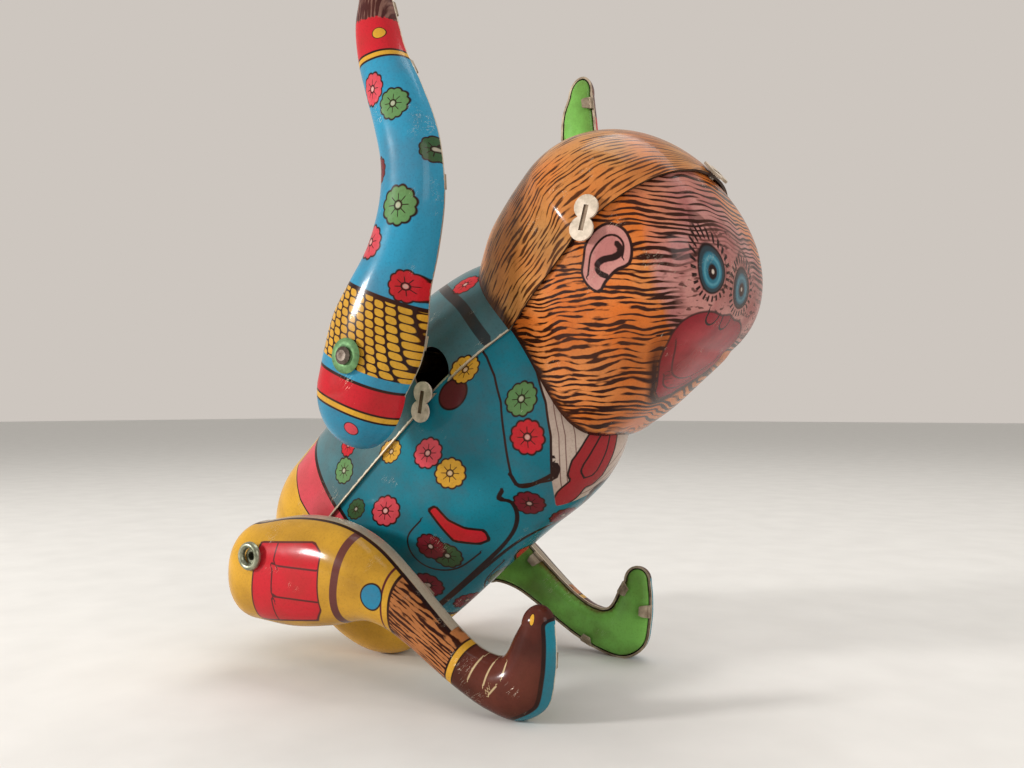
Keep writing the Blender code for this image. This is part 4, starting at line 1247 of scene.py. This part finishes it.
def decorate_limb(thing, shape, motifs):
    """Reach, across and height above the seam at every point of a limb's piece."""
    mesh = thing.data
    points = points_of(mesh)
    away = points - np.array(shape["pivot"])
    flat = np.column_stack([away @ np.array(shape["forward"]), away @ np.array(shape["upward"])])
    height = points[:, 1] * shape["hand"] - shape["seam"]
    carry(mesh, "place", away)
    carry(mesh, "limb", np.column_stack([flat, height]))
    rungs = shape["rungs"]
    edges = [line_field(flat, [rung[side] for rung in rungs]) for side in (0, 1)]
    carry(mesh, "top_edge", edges[0])
    carry(mesh, "rim", np.minimum(*edges) + np.abs(height))
    stamp_layers(mesh, flat, motifs)
    if shape["name"].startswith("leg"):
        sole = [rung[1] for rung in rungs[TOE_RUNG:]]
        carry(mesh, "sole", line_field(flat, sole))
        carry(mesh, "leg_pocket", outline_field(flat, LEG_POCKET, smooth=False))
        carry_lines(mesh, "pocket_seams", flat, [POCKET_FLAP, *POCKET_LINES], False)
        carry_lines(mesh, "laces", flat, LACES, False)


def strokes(paint, along, phase, cover=0.5):
    """Brush strokes: broken dark lines, one to a turn of the phase, that run on along the other field."""
    bend = paint.noise(paint.join(along * 0.07, phase * 0.22), 1.0, 2.0)
    wave = ((phase + bend * 2.6) * tau).sine()
    break_up = paint.noise(paint.join(along * 0.22, phase, 7.0), 1.0, 2.0)
    clump = paint.noise(paint.join(along * 0.08, phase * 0.3, 3.0), 1.0, 1.0)
    broken = break_up * 1.5 + clump * 0.55
    return (wave * 0.2 + broken).above(1.57 - cover, 0.08)


def jacket_print(name, base, is_front):
    """The flowered jacket over the trousers, with shirt, cravat, lapel and pockets in front."""
    paint = Paint(name, base)
    place = paint.read("place", "Vector")
    shade = paint.noise(place, 0.06, 2.0)
    paint.lay(dim(base, 0.62), shade.above(0.5, 0.2))
    along = paint.parts("body")[1]
    if is_front:
        shirt = paint.read("shirt")
        inside_shirt = shirt.below(0)
        paint.lay(SHIRT_WHITE, inside_shirt)
        for depth in (1.5, 2.7, 4.6):
            paint.lay(MAROON, shirt.near(-depth, 0.1) * (inside_shirt * 0.8))
        cravat = paint.read("cravat")
        paint.lay(CRAVAT_RED, cravat.below(0) * inside_shirt)
        for depth in (0, 2.2):
            paint.lay(INK, cravat.near(-depth, 0.18) * inside_shirt)
    lay_motifs(paint, "motif_under")
    lay_motifs(paint, "motif_top")
    if is_front:
        paint.lay(RED, paint.read("flap").below(0))
        paint.lay(INK, paint.read("flap").near(0, 0.28))
        paint.lay(INK, paint.read("lapel").near(0, 0.24))
        paint.lay(INK, paint.read("wedge").below(0))
        for name, half in (("notch", 0.4), ("opening", 0.4), ("pocket", 0.18)):
            paint.lay(INK, paint.line(name, half))
    else:
        paint.lay(INK, paint.read("collar").below(1.1) * 0.8)
    trousers = along.below(HEM_ALONG, 0.08)
    paint.lay(YELLOW, trousers)
    paint.lay(ROSE, paint.read("patch").below(0) * trousers)
    paint.lay(INK, paint.read("patch").near(0, 0.2) * trousers)
    paint.lay(INK, along.near(HEM_ALONG, 0.5))
    return lacquered(paint, paint.read("rim"))


def face_print():
    """Fur round a bare face, with eyes, muzzle, mouth and ears."""
    paint = Paint("face_print", FUR)
    place = paint.read("place", "Vector")
    x, y, z = paint.split(place)
    pale = paint.noise(place, 0.1, 2.0)
    paint.lay(FUR_PALE, pale.above(0.5, 0.12))
    skin = paint.read("skin").below(0, 0.9)
    paint.lay(SKIN, skin)
    paint.lay(SKIN_SHADE, skin * paint.noise(place, 0.16, 2.0).above(0.52, 0.12))
    sway = paint.noise(place, 0.1, 1.0) * 4.0
    fall = (x * -1.0 + 62.0).or_more(0.0) ** 2.0 * 0.004
    level = z + sway + fall * -1.0
    fur = strokes(paint, x, level * 1.0)
    run = paint.join(x * 0.13, y * 0.3, level * 1.2)
    thin_out = paint.read("skin").above(-3.2, 1.6)
    paint.lay(FUR_DARK_AND_SHADOW, fur * thin_out)
    crease = paint.read("above_crease") + paint.noise(run, 1.6, 2.0) * -3.0
    paint.lay(FUR_DARK_AND_SHADOW, crease.below(-0.2, 0.5))
    # Painted shadow: a dark rim just outside the muzzle's lower part, standing in for the shade at the
    # mouth's corner
    beside = paint.read("muzzle").near(0.8, 1.0, 0.7)
    low = paint.parts("body")[1].below(109, 4.0)
    paint.lay(FUR_DARK_AND_SHADOW, beside * low)
    dash = paint.join(x * 0.5, y * 0.5, z * 1.4)
    spots = paint.noise(dash, 1.1, 1.0).above(0.63, 0.03) * paint.read("skin").below(-2, 0.5)
    paint.lay(FUR_DARK_AND_SHADOW, spots * 0.75)
    paint.lay(MUZZLE, paint.read("muzzle").below(0))
    light = paint.read("muzzle").below(-2.2, 2.0) * paint.noise(place, 0.2).above(0.45, 0.15)
    paint.lay(MUZZLE_LIGHT, light * 0.7)
    paint.lay(INK, paint.read("muzzle").near(0, 0.2) * 0.8)
    paint.lay(INK, paint.line("nostril", 0.2))
    paint.lay(MAROON, paint.line("mouth", 0.2))
    paint.lay(FUR_DARK_AND_SHADOW, paint.line("brow", 0.22) * 0.5)
    lay_eye(paint)
    lay_ear(paint, place)
    return lacquered(paint)


def lay_eye(paint):
    """An iris with rings, its dark border, a pupil with a light and short lashes."""
    u, v, _ = paint.parts("eye")
    reach = (u * u + v * v).root()
    turn = v.turn_over(u)
    comb = (turn * 26.0).sine().above(0.25, 0.2)
    paint.lay(INK, comb * reach.near(1.32, 0.17, 0.04))
    paint.lay(seen(48, 60, 66), reach.below(1.02, 0.04))
    paint.lay(IRIS, reach.below(0.76, 0.05))
    paint.lay(seen(82, 142, 156), reach.near(0.58, 0.06, 0.05))
    paint.lay(INK, reach.near(1.0, 0.05, 0.04))
    paint.lay(INK, reach.below(0.34, 0.05))
    off = ((u + 0.02) ** 2.0 + (v + -0.02) ** 2.0).root()
    paint.lay(WHITE, off.below(0.1, 0.03))


def lay_ear(paint, place):
    paint.lay(SKIN, paint.read("ear").below(0))
    lobe = paint.read("ear").below(-1.6, 0.8) * 0.7
    paint.lay(SKIN_SHADE, lobe)
    paint.lay(INK, paint.read("ear").near(0, 0.24))
    paint.lay(INK, paint.line("ear_fold", 0.18))
    paint.lay(INK, paint.read("ear_canal").below(0.5))


def hair_print():
    """Strokes of hair down the back of the head."""
    paint = Paint("hair_print", HAIR)
    place = paint.read("place", "Vector")
    paint.lay(FUR, paint.noise(place, 0.08, 2.0).above(0.52, 0.15) * 0.6)
    angle, along, _ = paint.parts("body")
    sway = paint.noise(place, 0.1, 1.0) * 6.0
    round_way = angle * 0.42 + sway * 0.45
    run = paint.join(round_way, along * 0.07, along * 0.01)
    paint.lay(FUR_DARK_AND_SHADOW, strokes(paint, along, round_way, 0.43) * 0.9)
    low = paint.read("above_crease") + paint.noise(run, 1.4, 2.0) * -4.0
    paint.lay(FUR_DARK_AND_SHADOW, low.below(0.0, 0.8) * 0.9)
    return lacquered(paint)


def lay_beyond(paint, field, edge, color, line=0.22):
    """Colour past an edge of a field, with a dark line on the edge."""
    paint.lay(color, field.above(edge))
    if line:
        paint.lay(INK, field.near(edge, line))


def arm_print():
    """Sleeve bands, a scale pattern, flowers and a cuff, from the shoulder outward."""
    paint = Paint("arm_print", SLEEVE)
    place = paint.read("place", "Vector")
    reach, across, _ = paint.parts("limb")
    paint.lay(dim(SLEEVE, 0.7), paint.noise(place, 0.07, 2.0).above(0.5, 0.2))
    low = reach + across * 0.4
    lay_beyond(paint, low, -11.0, YELLOW)
    lay_beyond(paint, low, -9.5, RED)
    lay_beyond(paint, low, -4.3, SLEEVE, 0.3)
    lay_scales(paint, low, across)
    lay_beyond(paint, low, 13.2, SLEEVE, 0.42)
    high = reach + across * -0.13
    lay_beyond(paint, high, 55.5, YELLOW)
    lay_beyond(paint, high, 56.8, RED)
    ragged = reach + paint.noise(place, 1.2) * -1.6
    lay_beyond(paint, ragged, 63.4, seen(70, 34, 32), 0)
    fur = strokes(paint, reach, across * 1.3) * reach.above(64.2, 0.2)
    paint.lay(seen(150, 110, 96), fur * 0.6)
    lay_motifs(paint, "motif_under")
    lay_motifs(paint, "motif_top")
    return lacquered(paint, paint.read("rim"))


def lay_scales(paint, low, across):
    """Yellow scales in slanting rows between black lines."""
    column = across * 0.52
    row = low * 0.62 + column.floor() * 0.37
    u = column.fraction() - 0.5
    v = row.fraction() - 0.5
    size = abs(u) ** 3.0 + abs(v) ** 3.0
    zone = low.above(-1.9)
    paint.lay(INK, zone)
    paint.lay(YELLOW, zone * size.below(0.074, 0.014))


def leg_print():
    """Yellow trousers with a red pocket and a button, the furry shin, and the shoe."""
    paint = Paint("leg_print", YELLOW)
    place = paint.read("place", "Vector")
    reach, across, height = paint.parts("limb")
    paint.lay(dim(YELLOW, 0.7), paint.noise(place, 0.08, 2.0).above(0.5, 0.2))
    pocket = paint.read("leg_pocket")
    paint.lay(RED, pocket.below(0))
    paint.lay(MAROON, pocket.near(0, 0.2))
    paint.lay(MAROON, paint.line("pocket_seams", 0.2) * pocket.below(0))
    band = reach + across * -0.19
    paint.lay(seen(96, 52, 48), band.near(23.2, 0.95))
    shin = reach + across * -0.06
    paint.lay(MAROON, shin.near(33.6, 0.2))
    lay_beyond(paint, shin, 35.2, seen(172, 108, 62), 0.25)
    slope = across * 0.75 + reach * 0.55
    down = reach - across
    fur = strokes(paint, down, slope * 1.7) * shin.above(35.2)
    paint.lay(FUR_DARK_AND_SHADOW, fur)
    foot = reach + across * -0.444
    lay_beyond(paint, foot, 54.9, YELLOW)
    lay_beyond(paint, foot, 56.6, SHOE, 0.15)
    glow = foot.above(57) * paint.noise(place, 0.15).above(0.5, 0.15)
    paint.lay(seen(104, 50, 40), glow * 0.6)
    paint.lay(PALE_LINE, paint.line("laces", 0.17) * foot.above(57))
    sole = paint.read("sole")
    walked = foot.above(60)
    paint.lay(JACKET, walked * sole.below(SOLE_EDGE))
    paint.lay(INK, walked * sole.near(SOLE_EDGE + 0.2, 0.3))
    lay_motifs(paint, "motif_top")
    on_top = paint.read("top_edge").below(3.0) * reach.below(46)
    paint.lay(INK, height.near(3.1, 0.45) * on_top)
    paint.lay(TIN_DULL, height.below(2.6) * on_top)
    return lacquered(paint, paint.read("rim"))


def plate_print():
    """Thin green lacquer, brown and worn toward the rim."""
    paint = Paint("plate_green", PLATE_GREEN)
    place = paint.read("place", "Vector")
    paint.lay(dim(PLATE_GREEN, 0.6), paint.noise(place, 0.09, 3.0).above(0.52, 0.14))
    ragged = paint.read("top_edge") + paint.noise(place, 0.6, 4.0, 0.7) * -2.2
    paint.lay(RUST, ragged.below(0.0, 0.4) * 0.8)
    return lacquered(paint)


def all_looks():
    """Every finish, by the name that the pieces ask for."""
    return {
        "jacket_front": jacket_print("jacket_front", JACKET, True),
        "face": face_print(),
        "jacket_back": jacket_print("jacket_back", JACKET_DULL, False),
        "hair": hair_print(),
        "inside": metal("tin_inside", TIN_DULL, RUST, 0.35, 0.85, 0.12),
        "edge": metal("tin_edge", seen(176, 160, 138), seen(110, 92, 74), 0.35, 0.3, 0.3, FUR_DARK_AND_SHADOW),
        "lug": metal("tin_lug", seen(232, 214, 194), TIN_DULL, 0.3, 0.2, 0.3),
        "arm": arm_print(),
        "leg": leg_print(),
        "green_plate": plate_print(),
        "washer": metal("washer_green", seen(110, 150, 100), seen(76, 104, 70), 0.3, 0.25),
        "steel": metal("steel_wire", seen(120, 110, 100), seen(70, 60, 52), 0.35, 0.9),
        "brass": metal("turned_brass", BRASS, seen(130, 96, 48), 0.25, 1.0),
        "eyelet": metal("eyelet_tin", seen(170, 172, 150), seen(104, 108, 88), 0.25, 0.9),
    }


def turned(name, centre, hand, profile):
    """A turned ring round a cross axle, from a closed profile of (radius, height away from the middle)."""
    turns = [tau * i / ROUND_STEPS for i in range(ROUND_STEPS)]
    rings = [[Vector((centre.x + radius * cos(turn), hand * height, centre.z + radius * sin(turn)))
              for turn in turns] for radius, height in profile]
    thing = built(name, tube(rings, closed=True))
    smooth(thing.data, 50)
    return thing


def heights(node):
    """How near and how far from the middle plane a node's box goes, with its greatest radius."""
    low, high = (Vector(corner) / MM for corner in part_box(node))
    return min(abs(low.y), abs(high.y)), max(abs(low.y), abs(high.y)), (high.z - low.z) / 2


def fittings(looks):
    """The dished washers and the rolled eyelets, each inside the box of the frame's own one."""
    for side, hand in (("right", -1), ("left", 1)):
        node = "shoulder_washer_" + side
        low, high, wide = heights(node)
        bore = SHOULDER_AXLE / 2 + GAP
        profile = [(bore, low + 0.2), (wide - 0.5, low), (wide - 0.1, low + 0.05), (wide, low + 0.2),
                   (wide - 0.15, low + 0.35), (bore + 0.9, high - 0.02), (bore + 0.3, high),
                   (bore, high - 0.1)]
        dished = turned(node + "_dished", SHOULDER, hand, profile)
        show(dished, "torso", node, looks["washer"])
        node = "hip_eyelet_" + side
        low, high, wide = heights(node)
        bore = HIP_TUBE / 2 + 0.02
        middle, half = (bore + wide) / 2, (wide - bore) / 2
        arc = [(middle + half * cos(pi * i / 10), low + 0.15 + (high - low - 0.15) * sin(pi * i / 10))
               for i in range(11)]
        rolled = turned(node + "_rolled", HIP, hand, [(wide, low)] + arc + [(bore, low)])
        show(rolled, "legs", node, looks["eyelet"])


def show(thing, body, node, look):
    """Give a fitting its finish, and put it in the place of the frame's own piece."""
    thing.data.materials.append(look)
    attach(thing, body)
    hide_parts(node)


# The finish of each piece that the frame shows as it is
CARRIED = {
    "shoulder_axle": "steel", "shoulder_bush_right": "brass", "shoulder_bush_left": "brass",
    "cord_sheave": "brass", "hip_tube": "eyelet", "hip_washer_right": "edge", "hip_washer_left": "edge",
    "crank_plate": "edge", "crank_pin": "steel", "return_spring": "steel", "spring_anchor": "steel",
}


def finish_carried(looks):
    """Finish the pieces that the frame shows as they are, and shade their round faces smooth."""
    for name, key in CARRIED.items():
        mesh = frame["nodes"][name].data
        mesh.materials.clear()
        mesh.materials.append(looks[key])
        smooth(mesh, 30)


# Camera, from the vanishing lines and landmarks of the photograph, in the 1024 x 768 frame
PICTURE_WIDTH = 1024
FOCAL_PIXELS = 880
SENSOR = 36.0
CAMERA_FROM_SEAT = (155.16, -163.50, 39.92)
CAMERA_AZIMUTH = radians(30.63)
CAMERA_PITCH = radians(1.66)


def camera():
    data = bpy.data.cameras.new("camera")
    data.sensor_width = SENSOR
    data.lens = FOCAL_PIXELS / PICTURE_WIDTH * SENSOR
    data.clip_start = 0.01
    data.clip_end = 20
    thing = new_object("camera", data)
    thing.location = (SEAT + Vector(CAMERA_FROM_SEAT)) * MM
    thing.rotation_euler = (pi / 2 + CAMERA_PITCH, 0, CAMERA_AZIMUTH)
    bpy.context.scene.camera = thing


def softbox(name, place, size, power):
    """A square lamp that is turned toward the toy."""
    data = bpy.data.lights.new(name, "AREA")
    data.size = size
    data.energy = power
    thing = new_object(name, data)
    thing.location = place
    thing.rotation_euler = (Vector(LAMP_TARGET) - Vector(place)).to_track_quat("-Z", "Y").to_euler()


# Lamps: name, place in metres, size and power
LAMPS = (
    ("key", (-0.46, -0.52, 0.24), 0.1, 4.0),
    ("fill", (0.6, -0.25, 0.35), 0.3, 1.2),
    ("top", (0.05, 0.2, 0.8), 0.5, 2.6),
)
LAMP_TARGET = (0, 0, 0.06)
SURROUND = (0.80, 0.79, 0.77)
SURROUND_LIGHT = 0.7
BACKDROP = seen(205, 198, 191)


def studio():
    """A pale floor, soft lamps, and a surround that the camera and mirrors see as a pale backdrop."""
    scene = bpy.context.scene
    scene.view_settings.view_transform = "Standard"
    build = bmesh.new()
    bmesh.ops.create_grid(build, x_segments=1, y_segments=1, size=4.0)
    floor = built("floor", build)
    ground = Paint("floor", seen(226, 222, 216))
    place = ground.node("ShaderNodeTexCoord", {}).outputs["Object"]
    grain = ground.noise(place, 60.0, 3.0)
    ground.lay(seen(220, 216, 210), grain.above(0.5, 0.2))
    floor.data.materials.append(ground.finish(0.7, 0.0, grain))
    for lamp in LAMPS:
        softbox(*lamp)
    world = bpy.data.worlds.new("surround")
    scene.world = world
    world.use_nodes = True
    nodes, links = world.node_tree.nodes, world.node_tree.links
    nodes["Background"].inputs["Color"].default_value = (*SURROUND, 1)
    nodes["Background"].inputs["Strength"].default_value = SURROUND_LIGHT
    backdrop = nodes.new("ShaderNodeBackground")
    backdrop.inputs["Color"].default_value = (*BACKDROP, 1)
    path = nodes.new("ShaderNodeLightPath")
    shown = path.outputs["Is Camera Ray"]
    for ray in ("Is Glossy Ray", "Is Transmission Ray"):
        either = nodes.new("ShaderNodeMath")
        either.operation = "MAXIMUM"
        links.new(shown, either.inputs[0])
        links.new(path.outputs[ray], either.inputs[1])
        shown = either.outputs[0]
    choice = nodes.new("ShaderNodeMixShader")
    links.new(shown, choice.inputs[0])
    links.new(nodes["Background"].outputs[0], choice.inputs[1])
    links.new(backdrop.outputs[0], choice.inputs[2])
    links.new(choice.outputs[0], nodes["World Output"].inputs["Surface"])


camera()
studio()
LOOKS = all_looks()
for index, shell in enumerate(body_shells(LOOKS)):
    decorate_body(shell, index == 0)
for shape, outer, plate in limbs(LOOKS):
    motifs = ARM_MOTIFS if shape["name"].startswith("arm") else LEG_MOTIFS
    decorate_limb(outer, shape, motifs)
    decorate_limb(plate, shape, motifs)
fittings(LOOKS)
finish_carried(LOOKS)
